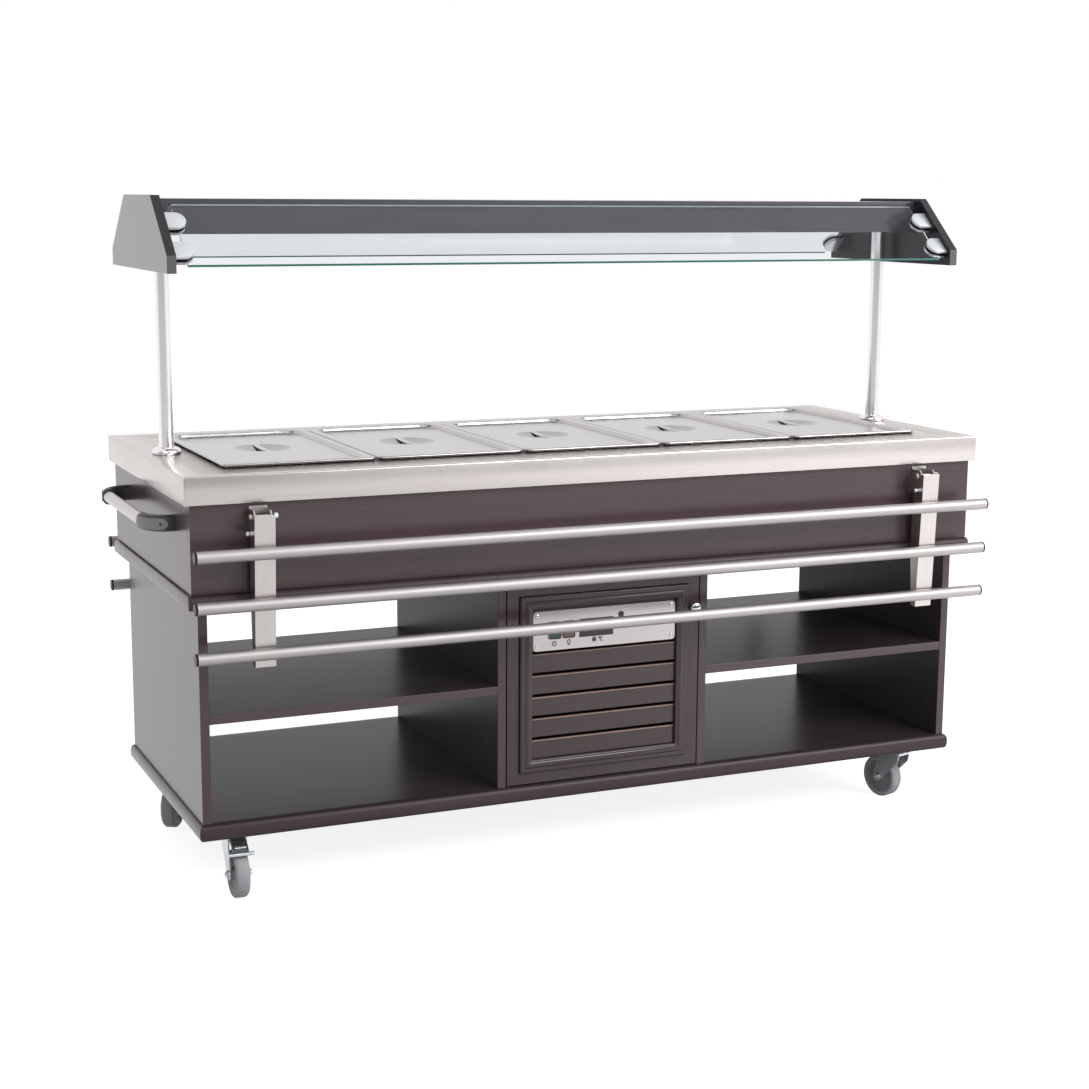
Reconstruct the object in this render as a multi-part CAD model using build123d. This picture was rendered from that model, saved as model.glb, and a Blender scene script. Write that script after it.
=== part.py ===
from build123d import *
import os

# Buffet counter, millimetres. X runs along the length, -Y is the front, Z is up from the floor.
# The cabinet is drawn about X = 0 and moved on export, so that the origin lies under the middle
# of the overall outline, which the push handle makes longer at the left end.
HANDLE_REACH = 979.0
WORKTOP_L = 1850.0
FRAME_SHIFT = (HANDLE_REACH - WORKTOP_L / 2) / 2

# Cabinet boards
BOARD = 19.0
CABINET_L = 1789.0
CABINET_D = 640.0
BASE_L = 1806.0
BASE_D = 662.0
BASE_BOTTOM = 142.0
BASE_TOP = 172.0
DECK_L = 1840.0
DECK_D = 712.0
DECK_BOTTOM = 622.0
DECK_TOP = 650.0
BASE_EDGE_ROUND = 6.0
DECK_EDGE_ROUND = 13.0
BOARD_CORNER = 14.0
PARTITION_FACE = 251.0
SHELF_TOP = 398.0

# Apron and worktop
APRON_L = 1826.0
APRON_D = 698.0
GROOVE = 2.5
WORKTOP_D = 720.0
WORKTOP_TOP = 888.0
SKIRT_H = 57.0
SHEET = 2.0
SKIRT_GAP = 0.5
WORKTOP_CORNER = 2.0

# Well with five pans of the 530 x 325 format
PANS = 5
PAN_PITCH = 330.0
PAN_L = 526.0
PAN_W = 321.0
PAN_DEPTH = 150.0
PAN_RIM_H = 5.0
PAN_RIM_W = 13.0
PAN_CORNER = 14.0
WELL_L = 1626.0
WELL_D = 506.0
WELL_BOTTOM = 705.0
WELL_CORNER = 3.0
LID_L = 530.0
LID_W = 325.0
LID_CORNER = 15.0

# Hood
POST_X = 874.0
POST_R = 16.0
HOOD_OUT = 922.0
HOOD_TOP = 1425.0
HOOD_LOWER = 1309.0
HOOD_BOTTOM = 1274.0
HOOD_TOP_Y = 125.0
HOOD_LOW_Y = 257.5
BEAM_TOP = 1418.0
BEAM_BOTTOM = 1346.0
BEAM_HALF_D = 110.0
GLASS_T = 6.0
GLASS_HALF_L = 879.0

# Tray slides, drawn folded down
TRAY_PIVOT_Y = 378.0
TRAY_PIVOT_Z = 806.0
TRAY_LEAN = 2.7
TRAY_HALF_LENGTH = 924.0
ARM_X = 776.0
ARM_W = 42.0
ARM_WEB = 23.8
TUBE_R = 12.5
TUBE_DROPS = (66.4, 168.4, 270.0)

# Door of the machine bay
DOOR_HALF_W = 229.5
DOOR_BOTTOM = 175.0
DOOR_TOP = 619.0
LOUVRE_HALF_W = 172.5
LOUVRE_BOTTOM = 229.0
LOUVRE_TOP = 466.5
SLATS = 5
PLATE_TOP = 553.0
PLATE_BOTTOM = 466.5

# Castors
WHEEL_R = 50.0
WHEEL_W = 30.0
CASTOR_TRAIL = 40.0
CASTOR_X = 814.0
CASTOR_Y = 248.0
AXLE_R = 4.0
RUNNING_FIT = 0.05

os.makedirs("parts", exist_ok=True)


def save(name, *solids):
    """Write one node, moved into the shared frame."""
    moved = [Pos(FRAME_SHIFT, 0, 0) * solid for solid in solids]
    export_step(Compound(children=moved) if len(moved) > 1 else moved[0], f"parts/{name}.step")


def block(x0, x1, y0, y1, z0, z1):
    """A box between two corners."""
    return Pos((x0 + x1) / 2, (y0 + y1) / 2, (z0 + z1) / 2) * Box(x1 - x0, y1 - y0, z1 - z0)


def rounded_plate(length_x, length_y, radius, z0, z1):
    """An upright prism on a rectangle with rounded corners."""
    return Pos(0, 0, z0) * extrude(RectangleRounded(length_x, length_y, radius), z1 - z0)


def along_x(points, x0, x1):
    """A prism along X on an outline of (y, z) points."""
    face = make_face(Polyline([(0, y, z) for y, z in points], close=True))
    return Pos(x0, 0, 0) * extrude(face, x1 - x0, dir=(1, 0, 0))


def rod_x(radius, x0, x1, y, z):
    """A round bar along X."""
    return Pos((x0 + x1) / 2, y, z) * Rot(0, 90, 0) * Cylinder(radius, x1 - x0)


def turned(points, place):
    """A turned piece: (radius, height) points revolved about the local Z axis."""
    face = make_face(Polyline([(r, 0, h) for r, h in points], close=True))
    return place * revolve(face, Axis.Z)


def mirrored_x(solid):
    return mirror(solid, Plane.YZ)


def mirrored_y(solid):
    return mirror(solid, Plane.XZ)


# Base board and deck board: thick boards with rounded edges all round
def round_edged_board(length, depth, z0, z1, edge_round):
    board = rounded_plate(length, depth, BOARD_CORNER, z0, z1)
    rims = board.edges().filter_by(lambda edge: abs(edge.center().Z - (z0 + z1) / 2) > 1)
    return fillet(rims, edge_round)


PIVOT_PIN_R = 3.0
DOOR_PIVOT_X = -DOOR_HALF_W + 6.0
DOOR_PIVOT_Y = -CABINET_D / 2 + BOARD / 2
PIN_DEPTH = 12.0
PIN_SEAT_R = PIVOT_PIN_R + 0.1


def pin_bore(z0, z1):
    return Pos(DOOR_PIVOT_X, DOOR_PIVOT_Y, (z0 + z1) / 2) * Cylinder(PIN_SEAT_R, z1 - z0)


base_board = round_edged_board(BASE_L, BASE_D, BASE_BOTTOM, BASE_TOP, BASE_EDGE_ROUND)
base_board -= pin_bore(BASE_TOP - PIN_DEPTH, BASE_TOP + 1)
save("base_board", base_board)

deck_board = round_edged_board(DECK_L, DECK_D, DECK_BOTTOM, DECK_TOP, DECK_EDGE_ROUND)
deck_board -= pin_bore(DECK_BOTTOM - 1, DECK_BOTTOM + PIN_DEPTH)
save("deck_board", deck_board)

# Lower cabinet: end panels, partitions, shelves and the vented back of the machine bay
END_X = CABINET_L / 2
HALF_D = CABINET_D / 2
left_end = block(-END_X, -END_X + BOARD, -HALF_D, HALF_D, BASE_TOP, DECK_BOTTOM)
save("end_panels", left_end, mirrored_x(left_end))

left_partition = block(-PARTITION_FACE, -PARTITION_FACE + BOARD, -HALF_D, HALF_D, BASE_TOP, DECK_BOTTOM)
save("partitions", left_partition, mirrored_x(left_partition))

left_shelf = block(-END_X + BOARD, -PARTITION_FACE, -HALF_D, HALF_D, SHELF_TOP - BOARD, SHELF_TOP)
save("shelves", left_shelf, mirrored_x(left_shelf))

BAY_HALF_W = PARTITION_FACE - BOARD
VENT_SLOTS = 6
VENT_PITCH = 30.0
VENT_H = 10.0
VENT_FIRST_Z = 300.0
VENT_HALF_W = 140.0
back_panel = block(-BAY_HALF_W, BAY_HALF_W, HALF_D - BOARD, HALF_D, BASE_TOP, DECK_BOTTOM)
for row in range(VENT_SLOTS):
    vent_z = VENT_FIRST_Z + row * VENT_PITCH
    back_panel -= block(-VENT_HALF_W, VENT_HALF_W, HALF_D - BOARD, HALF_D, vent_z, vent_z + VENT_H)
save("machine_back_panel", back_panel)

# Apron: four boards standing on the deck, with a shadow groove at the foot
APRON_TOP = WORKTOP_TOP - SHEET
APRON_HALF_L = APRON_L / 2
APRON_HALF_D = APRON_D / 2
groove_top = DECK_TOP + GROOVE
front_y = -APRON_HALF_D
left_x = -APRON_HALF_L
front_apron = block(left_x, -left_x, front_y, front_y + BOARD, DECK_TOP, APRON_TOP)
front_apron -= block(left_x, -left_x, front_y, front_y + GROOVE, DECK_TOP, groove_top)
end_apron = block(left_x, left_x + BOARD, front_y + BOARD, -front_y - BOARD, DECK_TOP, APRON_TOP)
end_apron -= block(left_x, left_x + GROOVE, front_y, -front_y, DECK_TOP, groove_top)
save("apron_boards", front_apron, mirrored_y(front_apron), end_apron, mirrored_x(end_apron))

# Worktop: one folded sheet with turned-down skirts, returned under to the apron, and the well opening
SKIRT_BOTTOM = WORKTOP_TOP - SKIRT_H
worktop = rounded_plate(WORKTOP_L, WORKTOP_D, WORKTOP_CORNER, SKIRT_BOTTOM, WORKTOP_TOP)
inside_x = WORKTOP_L / 2 - SHEET
inside_y = WORKTOP_D / 2 - SHEET
return_x = APRON_HALF_L + SKIRT_GAP
return_y = APRON_HALF_D + SKIRT_GAP
worktop -= block(-inside_x, inside_x, -inside_y, inside_y, SKIRT_BOTTOM + SHEET, APRON_TOP)
worktop -= block(-return_x, return_x, -return_y, return_y, SKIRT_BOTTOM, APRON_TOP)
worktop -= rounded_plate(WELL_L, WELL_D, WELL_CORNER, APRON_TOP - 1, WORKTOP_TOP + 1)
save("worktop", worktop)

# Well: folded liner hung under the worktop, in a foamed jacket that stands on the deck
LINER_FLANGE = 14.0
LINER_WALL = 1.5
FOAM = 28.0
FOAM_TOP = 868.0
LINER_TOP = APRON_TOP
liner_l = WELL_L + 2 * LINER_WALL
liner_d = WELL_D + 2 * LINER_WALL
flange_l = WELL_L + 2 * LINER_FLANGE
flange_d = WELL_D + 2 * LINER_FLANGE
liner = rounded_plate(liner_l, liner_d, WELL_CORNER + LINER_WALL, WELL_BOTTOM, LINER_TOP)
liner += rounded_plate(flange_l, flange_d, WELL_CORNER, LINER_TOP - LINER_WALL, LINER_TOP)
liner -= rounded_plate(WELL_L, WELL_D, WELL_CORNER, WELL_BOTTOM + LINER_WALL, LINER_TOP)
save("well_liner", liner)

foam = block(-WELL_L / 2 - FOAM, WELL_L / 2 + FOAM, -WELL_D / 2 - FOAM, WELL_D / 2 + FOAM, DECK_TOP, FOAM_TOP)
foam -= rounded_plate(liner_l, liner_d, WELL_CORNER + LINER_WALL, WELL_BOTTOM, FOAM_TOP)
save("well_insulation", foam)

# Pan bars: inverted channels across the opening, carrying the pan rims between neighbours
BAR_W = 24.0
BAR_H = 14.0
BAR_WALL = 1.5
bar = block(-BAR_W / 2, BAR_W / 2, -WELL_D / 2, WELL_D / 2, WORKTOP_TOP - BAR_H, WORKTOP_TOP)
bar -= block(-BAR_W / 2 + BAR_WALL, BAR_W / 2 - BAR_WALL, -WELL_D / 2, WELL_D / 2,
             WORKTOP_TOP - BAR_H, WORKTOP_TOP - BAR_WALL)
save("pan_bars", *[Pos((i - (PANS - 2) / 2) * PAN_PITCH, 0, 0) * bar for i in range(PANS - 1)])

# Pans: drawn tubs with a raised rim that rests on the worktop and on the bars
TUB_L = PAN_L - 2 * PAN_RIM_W
TUB_W = PAN_W - 2 * PAN_RIM_W
TUB_CORNER = 38.0
TUB_TAPER = 4.0
PAN_WALL = 1.5
RIM_TOP = WORKTOP_TOP + PAN_RIM_H
PAN_BOTTOM = RIM_TOP - PAN_DEPTH


def tub(wall, z0, z1):
    """The tapering inside or outside of a drawn tub, narrower at the foot."""
    mouth = Plane.XY.offset(z1) * RectangleRounded(TUB_W - 2 * wall, TUB_L - 2 * wall, TUB_CORNER - wall)
    return extrude(mouth, z1 - z0, dir=(0, 0, -1), taper=TUB_TAPER)


pan = rounded_plate(PAN_W, PAN_L, PAN_CORNER, WORKTOP_TOP, RIM_TOP)
pan += tub(0, PAN_BOTTOM, RIM_TOP)
pan -= tub(PAN_WALL, PAN_BOTTOM + PAN_WALL, RIM_TOP)

# Lids: flat rim, sunken panel with wide corners, a dished handle cup behind the middle, a strap across it
LID_RIM_T = 3.0
LID_RIM_TOP = RIM_TOP + LID_RIM_T
PANEL_W = 260.0
PANEL_L = 470.0
PANEL_CORNER = 54.0
PANEL_DROP = 9.0
PANEL_TAPER = 10.0
LID_SHEET = 2.0
DISH_R = 60.0
DISH_FOOT_R = 40.0
DISH_DEPTH = 12.0
DISH_BACK = 22.0
STRAP_W = 18.0
STRAP_L = 126.0
STRAP_T = 3.0
PANEL_TOP = LID_RIM_TOP - PANEL_DROP


def sunk_panel(grow, z_top, drop):
    """The tapering form of the sunken panel, larger by grow all round."""
    outline = RectangleRounded(PANEL_W + 2 * grow, PANEL_L + 2 * grow, PANEL_CORNER + grow)
    mouth = Plane.XY.offset(z_top) * outline
    return extrude(mouth, drop, dir=(0, 0, -1), taper=PANEL_TAPER)


def dish(grow, z_top, depth):
    """The handle cup's cone frustum."""
    points = [(0, z_top), (DISH_R + grow, z_top), (DISH_FOOT_R + grow, z_top - depth), (0, z_top - depth)]
    return turned(points, Pos(0, DISH_BACK, 0))


lid = rounded_plate(LID_W, LID_L, LID_CORNER, RIM_TOP, LID_RIM_TOP)
lid += sunk_panel(LID_SHEET, LID_RIM_TOP, PANEL_DROP + LID_SHEET)
lid += dish(LID_SHEET, PANEL_TOP, DISH_DEPTH + LID_SHEET)
lid -= sunk_panel(0, LID_RIM_TOP, PANEL_DROP)
lid -= dish(0, PANEL_TOP, DISH_DEPTH)
lid += block(-STRAP_W / 2, STRAP_W / 2, DISH_BACK - STRAP_L / 2, DISH_BACK + STRAP_L / 2,
             PANEL_TOP - STRAP_T, PANEL_TOP)

for place in range(PANS):
    shift = Pos((place - (PANS - 1) / 2) * PAN_PITCH, 0, 0)
    save(f"pan_{place + 1}", shift * pan)
    save(f"lid_{place + 1}", shift * lid)

# Posts with domed collars, standing on the worktop and running up into the lamp box
POST_WALL = 2.0
COLLAR_R = 31.0
COLLAR_H = 15.0
COLLAR_EDGE = 5.0
COLLAR_SHOULDER = 4.0
COLLAR_CROWN_R = 22.0
COLLAR_FIT = 0.15
BEAM_BOARD = 19.0
post_height = BEAM_TOP - BEAM_BOARD - WORKTOP_TOP
post = Pos(-POST_X, 0, WORKTOP_TOP + post_height / 2) * (
    Cylinder(POST_R, post_height) - Cylinder(POST_R - POST_WALL, post_height))
collar_bore = POST_R + COLLAR_FIT
collar_points = [(collar_bore, 0), (COLLAR_R, 0), (COLLAR_R, COLLAR_EDGE),
                 (COLLAR_R - COLLAR_SHOULDER, COLLAR_H - COLLAR_SHOULDER),
                 (COLLAR_CROWN_R, COLLAR_H), (collar_bore, COLLAR_H)]
collar = turned(collar_points, Pos(-POST_X, 0, WORKTOP_TOP))
save("posts", post, mirrored_x(post), collar, mirrored_x(collar))

# Hood: six-sided cheeks, and a lamp box of a top board and two side boards
cheek_outline = [(-HOOD_TOP_Y, HOOD_TOP), (-HOOD_LOW_Y, HOOD_LOWER), (-HOOD_LOW_Y, HOOD_BOTTOM),
                 (HOOD_LOW_Y, HOOD_BOTTOM), (HOOD_LOW_Y, HOOD_LOWER), (HOOD_TOP_Y, HOOD_TOP)]
cheek = along_x(cheek_outline, -HOOD_OUT, -HOOD_OUT + BOARD)
save("hood_cheeks", cheek, mirrored_x(cheek))

HOOD_IN = HOOD_OUT - BOARD
beam_top = block(-HOOD_IN, HOOD_IN, -BEAM_HALF_D, BEAM_HALF_D, BEAM_TOP - BEAM_BOARD, BEAM_TOP)
beam_front = block(-HOOD_IN, HOOD_IN, -BEAM_HALF_D, -BEAM_HALF_D + BEAM_BOARD,
                   BEAM_BOTTOM, BEAM_TOP - BEAM_BOARD)
save("hood_lamp_box", beam_top, beam_front, mirrored_y(beam_front))

# Lamp: a batten under the top board with one tube between two holders
LAMP_HALF_L = 780.0
LAMP_R = 13.0
BATTEN_W = 46.0
BATTEN_H = 18.0
BATTEN_WALL = 1.5
HOLDER_T = 16.0
LAMP_GAP = 2.0
batten_top = BEAM_TOP - BEAM_BOARD
batten_foot = batten_top - BATTEN_H
batten_in = BATTEN_W / 2 - BATTEN_WALL
batten = block(-LAMP_HALF_L, LAMP_HALF_L, -BATTEN_W / 2, BATTEN_W / 2, batten_foot, batten_top)
batten -= block(-LAMP_HALF_L, LAMP_HALF_L, -batten_in, batten_in, batten_foot + BATTEN_WALL, batten_top)
tube_z = batten_foot - LAMP_R - LAMP_GAP
holder = block(-LAMP_HALF_L, -LAMP_HALF_L + HOLDER_T, -LAMP_R, LAMP_R,
               tube_z - LAMP_R, batten_foot)
lamp_tube = rod_x(LAMP_R, -LAMP_HALF_L + HOLDER_T, LAMP_HALF_L - HOLDER_T, 0, tube_z)
save("hood_lamp", batten, holder, mirrored_x(holder), lamp_tube)

# Glass: a pane on each side, parallel to the cheeks' slope, held at each end by two D-shaped clamps
SLOPE_RUN = HOOD_LOW_Y - HOOD_TOP_Y
SLOPE_DROP = HOOD_TOP - HOOD_LOWER
SLOPE = (SLOPE_RUN**2 + SLOPE_DROP**2) ** 0.5
DOWN_Y = -SLOPE_RUN / SLOPE
DOWN_Z = -SLOPE_DROP / SLOPE
GLASS_UPPER_Y = -117.0
GLASS_UPPER_Z = 1405.0
GLASS_WIDTH = 177.0
glass_origin = (0, GLASS_UPPER_Y, GLASS_UPPER_Z)
glass_plane = Plane(origin=glass_origin, x_dir=(1, 0, 0), z_dir=(0, DOWN_Z, -DOWN_Y))
pane = glass_plane * Pos(0, -GLASS_WIDTH / 2, 0) * Box(2 * GLASS_HALF_L, GLASS_WIDTH, GLASS_T)
save("hood_glass", pane, mirrored_y(pane))

CLAMP_R = 22.5
CLAMP_T = 6.5
CLAMP_GASKET = 1.5
CLAMP_REACH = 43.0
CLAMP_PLACES = (55.0, 140.0)
d_outline = Rectangle(CLAMP_REACH - CLAMP_R, 2 * CLAMP_R, align=(Align.MIN, Align.CENTER))
d_outline += Pos(CLAMP_REACH - CLAMP_R, 0) * Circle(CLAMP_R)
d_outline &= Rectangle(CLAMP_REACH, 2 * CLAMP_R, align=(Align.MIN, Align.CENTER))


def clamp_layer(down, start, thickness):
    """One D-shaped layer of a clamp, flat side on the left cheek."""
    seat = glass_plane * Pos(-HOOD_IN, -down, start)
    return seat * extrude(d_outline, thickness)


clamps = []
gaskets = []
for down in CLAMP_PLACES:
    for layers, start, thickness in (
        (clamps, GLASS_T / 2 + CLAMP_GASKET, CLAMP_T),
        (gaskets, GLASS_T / 2, CLAMP_GASKET),
        (gaskets, -GLASS_T / 2 - CLAMP_GASKET, CLAMP_GASKET),
        (clamps, -GLASS_T / 2 - CLAMP_GASKET - CLAMP_T, CLAMP_T),
    ):
        layer = clamp_layer(down, start, thickness)
        layers += [layer, mirrored_x(layer), mirrored_y(layer), mirrored_x(mirrored_y(layer))]
save("glass_clamps", *clamps)
save("clamp_gaskets", *gaskets)

# Push handle on the left end: a bar between two bent brackets of rounded section
HANDLE_Z = 777.0
HANDLE_R = 12.5
HANDLE_BAR_X = -964.4
HANDLE_FOOT_Y = 217.0
BRACKET_H = 34.0
BRACKET_W = 2 * (HANDLE_REACH + HANDLE_BAR_X)
BRACKET_BEND = 46.0
BRACKET_ROUND = 14.0
SOCKET_Y = 166.0
foot_x = -APRON_HALF_L
bracket_foot = (foot_x, -HANDLE_FOOT_Y, HANDLE_Z)
bend_start = (HANDLE_BAR_X + BRACKET_BEND, -HANDLE_FOOT_Y, HANDLE_Z)
bend_end = (HANDLE_BAR_X, -HANDLE_FOOT_Y + BRACKET_BEND, HANDLE_Z)
path = Line(bracket_foot, bend_start)
path += RadiusArc(bend_start, bend_end, BRACKET_BEND)
path += Line(bend_end, (HANDLE_BAR_X, -SOCKET_Y, HANDLE_Z))
section_plane = Plane(origin=bracket_foot, x_dir=(0, 1, 0), z_dir=(-1, 0, 0))
bracket = sweep(section_plane * RectangleRounded(BRACKET_W, BRACKET_H, BRACKET_ROUND), path)
handle_bar = Pos(HANDLE_BAR_X, 0, HANDLE_Z) * Rot(90, 0, 0) * Cylinder(HANDLE_R, 2 * SOCKET_Y)
save("push_handle", handle_bar, bracket, mirrored_y(bracket))

# Tray slide brackets: a back plate on the apron with two ears that carry the pivot pin
EAR_T = 3.0
EAR_OUT = 18.4
EAR_R = 13.0
EAR_FOOT = 42.0
EAR_BEVEL = 10.0
PLATE_T = 3.0
BRACKET_TOP = 824.0
PIVOT_R = 4.0
PIN_HEAD_R = 6.5
PIN_HEAD_T = 4.0
PIN_HEAD_BEVEL = 2.0
PIN_HEAD_GAP = 1.0
back_y = -APRON_HALF_D
pivot_y = -TRAY_PIVOT_Y
ear_root = back_y - PLATE_T
ear_nose = pivot_y - EAR_R
ear_outline = [
    (ear_root, TRAY_PIVOT_Z + EAR_R),
    (ear_nose + EAR_BEVEL, TRAY_PIVOT_Z + EAR_R),
    (ear_nose, TRAY_PIVOT_Z + EAR_R - EAR_BEVEL),
    (ear_nose, TRAY_PIVOT_Z - EAR_FOOT + EAR_BEVEL),
    (ear_nose + EAR_BEVEL, TRAY_PIVOT_Z - EAR_FOOT),
    (ear_root, TRAY_PIVOT_Z - EAR_FOOT),
]
ear = along_x(ear_outline, -EAR_OUT, -EAR_OUT + EAR_T)
hinge_bracket = block(-EAR_OUT, EAR_OUT, ear_root, back_y, TRAY_PIVOT_Z - EAR_FOOT, BRACKET_TOP)
hinge_bracket += ear
hinge_bracket += mirrored_x(ear)
hinge_bracket -= rod_x(PIVOT_R, -ARM_W, ARM_W, pivot_y, TRAY_PIVOT_Z)
pin_half = ARM_W / 2 + PIN_HEAD_GAP
pivot_pin = rod_x(PIVOT_R, -pin_half, pin_half, pivot_y, TRAY_PIVOT_Z)
pin_head = turned([(0, 0), (PIN_HEAD_R, 0), (PIN_HEAD_R - PIN_HEAD_BEVEL, PIN_HEAD_T), (0, PIN_HEAD_T)],
                  Pos(pin_half, pivot_y, TRAY_PIVOT_Z) * Rot(0, 90, 0))
pivot_pin += pin_head
pivot_pin += mirrored_x(pin_head)

hinges = []
for side in (-1, 1):
    for solid in (hinge_bracket, pivot_pin):
        placed = Pos(side * ARM_X, 0, 0) * solid
        hinges += [placed, mirrored_y(placed)]
save("tray_brackets", *hinges)

# Tray slides: two tapering channel arms with three capped tubes across their fronts
ARM_TOP = 6.0
ARM_FOOT = 300.0
ARM_SHEET = 2.0
ARM_DEPTH_TOP = 31.0
ARM_DEPTH_FOOT = 17.0
CAP_L = 3.0
TUBE_WALL = 1.5
LOCK_DROP = 31.0
LOCK_BACK = 9.0
LOCK_R = 3.0
BUSH_R = 5.5
BUSH_L = 6.0
ARM_SHOULDER = 39.0
CAP_BEVEL = 1.0


def lean(solid):
    """Turn a piece drawn upright about the front pivot into the folded slide's lean."""
    hinge = Pos(0, pivot_y, TRAY_PIVOT_Z)
    return hinge * Rot(TRAY_LEAN, 0, 0) * solid


arm_outline = [
    (-ARM_WEB, ARM_TOP),
    (-ARM_WEB + ARM_DEPTH_TOP, ARM_TOP),
    (-ARM_WEB + ARM_DEPTH_TOP, -ARM_SHOULDER),
    (-ARM_WEB + ARM_DEPTH_FOOT, -ARM_FOOT),
    (-ARM_WEB, -ARM_FOOT),
]
arm_in = ARM_W / 2 - ARM_SHEET
arm = along_x(arm_outline, -ARM_W / 2, ARM_W / 2)
arm -= block(-arm_in, arm_in, -ARM_WEB + ARM_SHEET, ARM_DEPTH_TOP, -ARM_FOOT, ARM_TOP)
arm += rod_x(BUSH_R, -ARM_W / 2 - BUSH_L, -ARM_W / 2, -LOCK_BACK, -LOCK_DROP)
arm -= rod_x(PIVOT_R + RUNNING_FIT, -ARM_W, ARM_W, 0, 0)
arm -= rod_x(LOCK_R + RUNNING_FIT, -ARM_W, 0, -LOCK_BACK, -LOCK_DROP)
slide_pieces = [Pos(side * ARM_X, 0, 0) * arm for side in (-1, 1)]
slide_caps = []
tube_y = -ARM_WEB - TUBE_R
tube_half = TRAY_HALF_LENGTH - CAP_L
for drop in TUBE_DROPS:
    tube = rod_x(TUBE_R, -tube_half, tube_half, tube_y, -drop)
    tube -= rod_x(TUBE_R - TUBE_WALL, -tube_half, tube_half, tube_y, -drop)
    slide_pieces.append(tube)
    cap = turned([(0, 0), (TUBE_R, 0), (TUBE_R, CAP_L - CAP_BEVEL), (TUBE_R - CAP_BEVEL, CAP_L), (0, CAP_L)],
                 Pos(tube_half, tube_y, -drop) * Rot(0, 90, 0))
    slide_caps += [cap, mirrored_x(cap)]
front_slide = [lean(solid) for solid in slide_pieces]
front_caps = [lean(solid) for solid in slide_caps]
save("tray_slide_front", *front_slide)
save("tray_caps_front", *front_caps)
save("tray_slide_rear", *[mirrored_y(solid) for solid in front_slide])
save("tray_caps_rear", *[mirrored_y(solid) for solid in front_caps])

# Lock pins: sprung pull pins with round knobs through each arm's left wall, tips just off the ears
KNOB_R = 5.5
KNOB_L = 7.0
KNOB_BEVEL = 2.0
PIN_PROUD = BUSH_L + 1.0
TIP_GAP = 0.3
pin_tip = -EAR_OUT - TIP_GAP
pin_end = -ARM_W / 2 - PIN_PROUD
lock_pin = rod_x(LOCK_R, pin_end, pin_tip, -LOCK_BACK, -LOCK_DROP)
knob_points = [(0, 0), (KNOB_R - KNOB_BEVEL, 0), (KNOB_R, KNOB_BEVEL), (KNOB_R, KNOB_L - KNOB_BEVEL),
               (KNOB_R - KNOB_BEVEL, KNOB_L), (0, KNOB_L)]
lock_pin += turned(knob_points, Pos(pin_end, -LOCK_BACK, -LOCK_DROP) * Rot(0, -90, 0))
for side, side_name in ((-1, "left"), (1, "right")):
    placed = lean(Pos(side * ARM_X, 0, 0) * lock_pin)
    save(f"lock_pin_front_{side_name}", placed)
    save(f"lock_pin_rear_{side_name}", mirrored_y(placed))

# Door: a board with the louvre opening, an applied picture-frame moulding and flat slats with slots between
DOOR_FACE = -HALF_D
DOOR_BACK = DOOR_FACE + BOARD
MOULD_W = 29.0
MOULD_T = 8.0
MOULD_TOP = 560.0
MOULD_ROUND = 5.0
door = block(-DOOR_HALF_W, DOOR_HALF_W, DOOR_FACE, DOOR_BACK, DOOR_BOTTOM, DOOR_TOP)
door -= block(-LOUVRE_HALF_W, LOUVRE_HALF_W, DOOR_FACE, DOOR_BACK, LOUVRE_BOTTOM, LOUVRE_TOP)
for z0, z1 in ((DOOR_BOTTOM, DOOR_BOTTOM + PIN_DEPTH), (DOOR_TOP - PIN_DEPTH, DOOR_TOP)):
    door -= Pos(DOOR_PIVOT_X, DOOR_PIVOT_Y, (z0 + z1) / 2) * Cylinder(PIVOT_PIN_R + RUNNING_FIT, z1 - z0)

mould_h = MOULD_TOP - LOUVRE_BOTTOM
mould_mid = (MOULD_TOP + LOUVRE_BOTTOM) / 2
mould_plane = Plane(origin=(0, DOOR_FACE, mould_mid), x_dir=(1, 0, 0), z_dir=(0, -1, 0))
ring = Rectangle(2 * (LOUVRE_HALF_W + MOULD_W), mould_h + 2 * MOULD_W)
ring -= Rectangle(2 * LOUVRE_HALF_W, mould_h)
moulding = extrude(mould_plane * ring, MOULD_T)
face_edges = moulding.faces().sort_by(Axis.Y)[0].edges()
moulding = fillet(face_edges, MOULD_ROUND)

SWITCH_W = 30.0
SWITCH_H = 39.0
SWITCH_Z = 510.0
SWITCH_X = (-119.5, -86.5)
BEZEL_T = 2.0
BEZEL_RIM = 2.0
CONTROLLER_X = -21.0
CONTROLLER_W = 80.0
CONTROLLER_H = 40.0
CONTROLLER_DEEP = 14.0
CONTROLLER_PROUD = 3.0
CONTROLLER_RIM = 3.0
CONTROLLER_BEVEL = 1.5
switch_half_w = SWITCH_W / 2 - BEZEL_RIM
switch_half_h = SWITCH_H / 2 - BEZEL_RIM
controller_half = (CONTROLLER_W / 2 - CONTROLLER_RIM, CONTROLLER_H / 2 - CONTROLLER_RIM)


def cut_for_controls(solid, y0, y1):
    """Openings for the two switches and the controller."""
    for x in SWITCH_X:
        solid -= block(x - switch_half_w, x + switch_half_w, y0, y1,
                       SWITCH_Z - switch_half_h, SWITCH_Z + switch_half_h)
    half_w, half_h = controller_half
    solid -= block(CONTROLLER_X - half_w, CONTROLLER_X + half_w, y0, y1, SWITCH_Z - half_h, SWITCH_Z + half_h)
    return solid


door = cut_for_controls(door, DOOR_FACE, DOOR_BACK)
save("door_panel", door, moulding)

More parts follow.
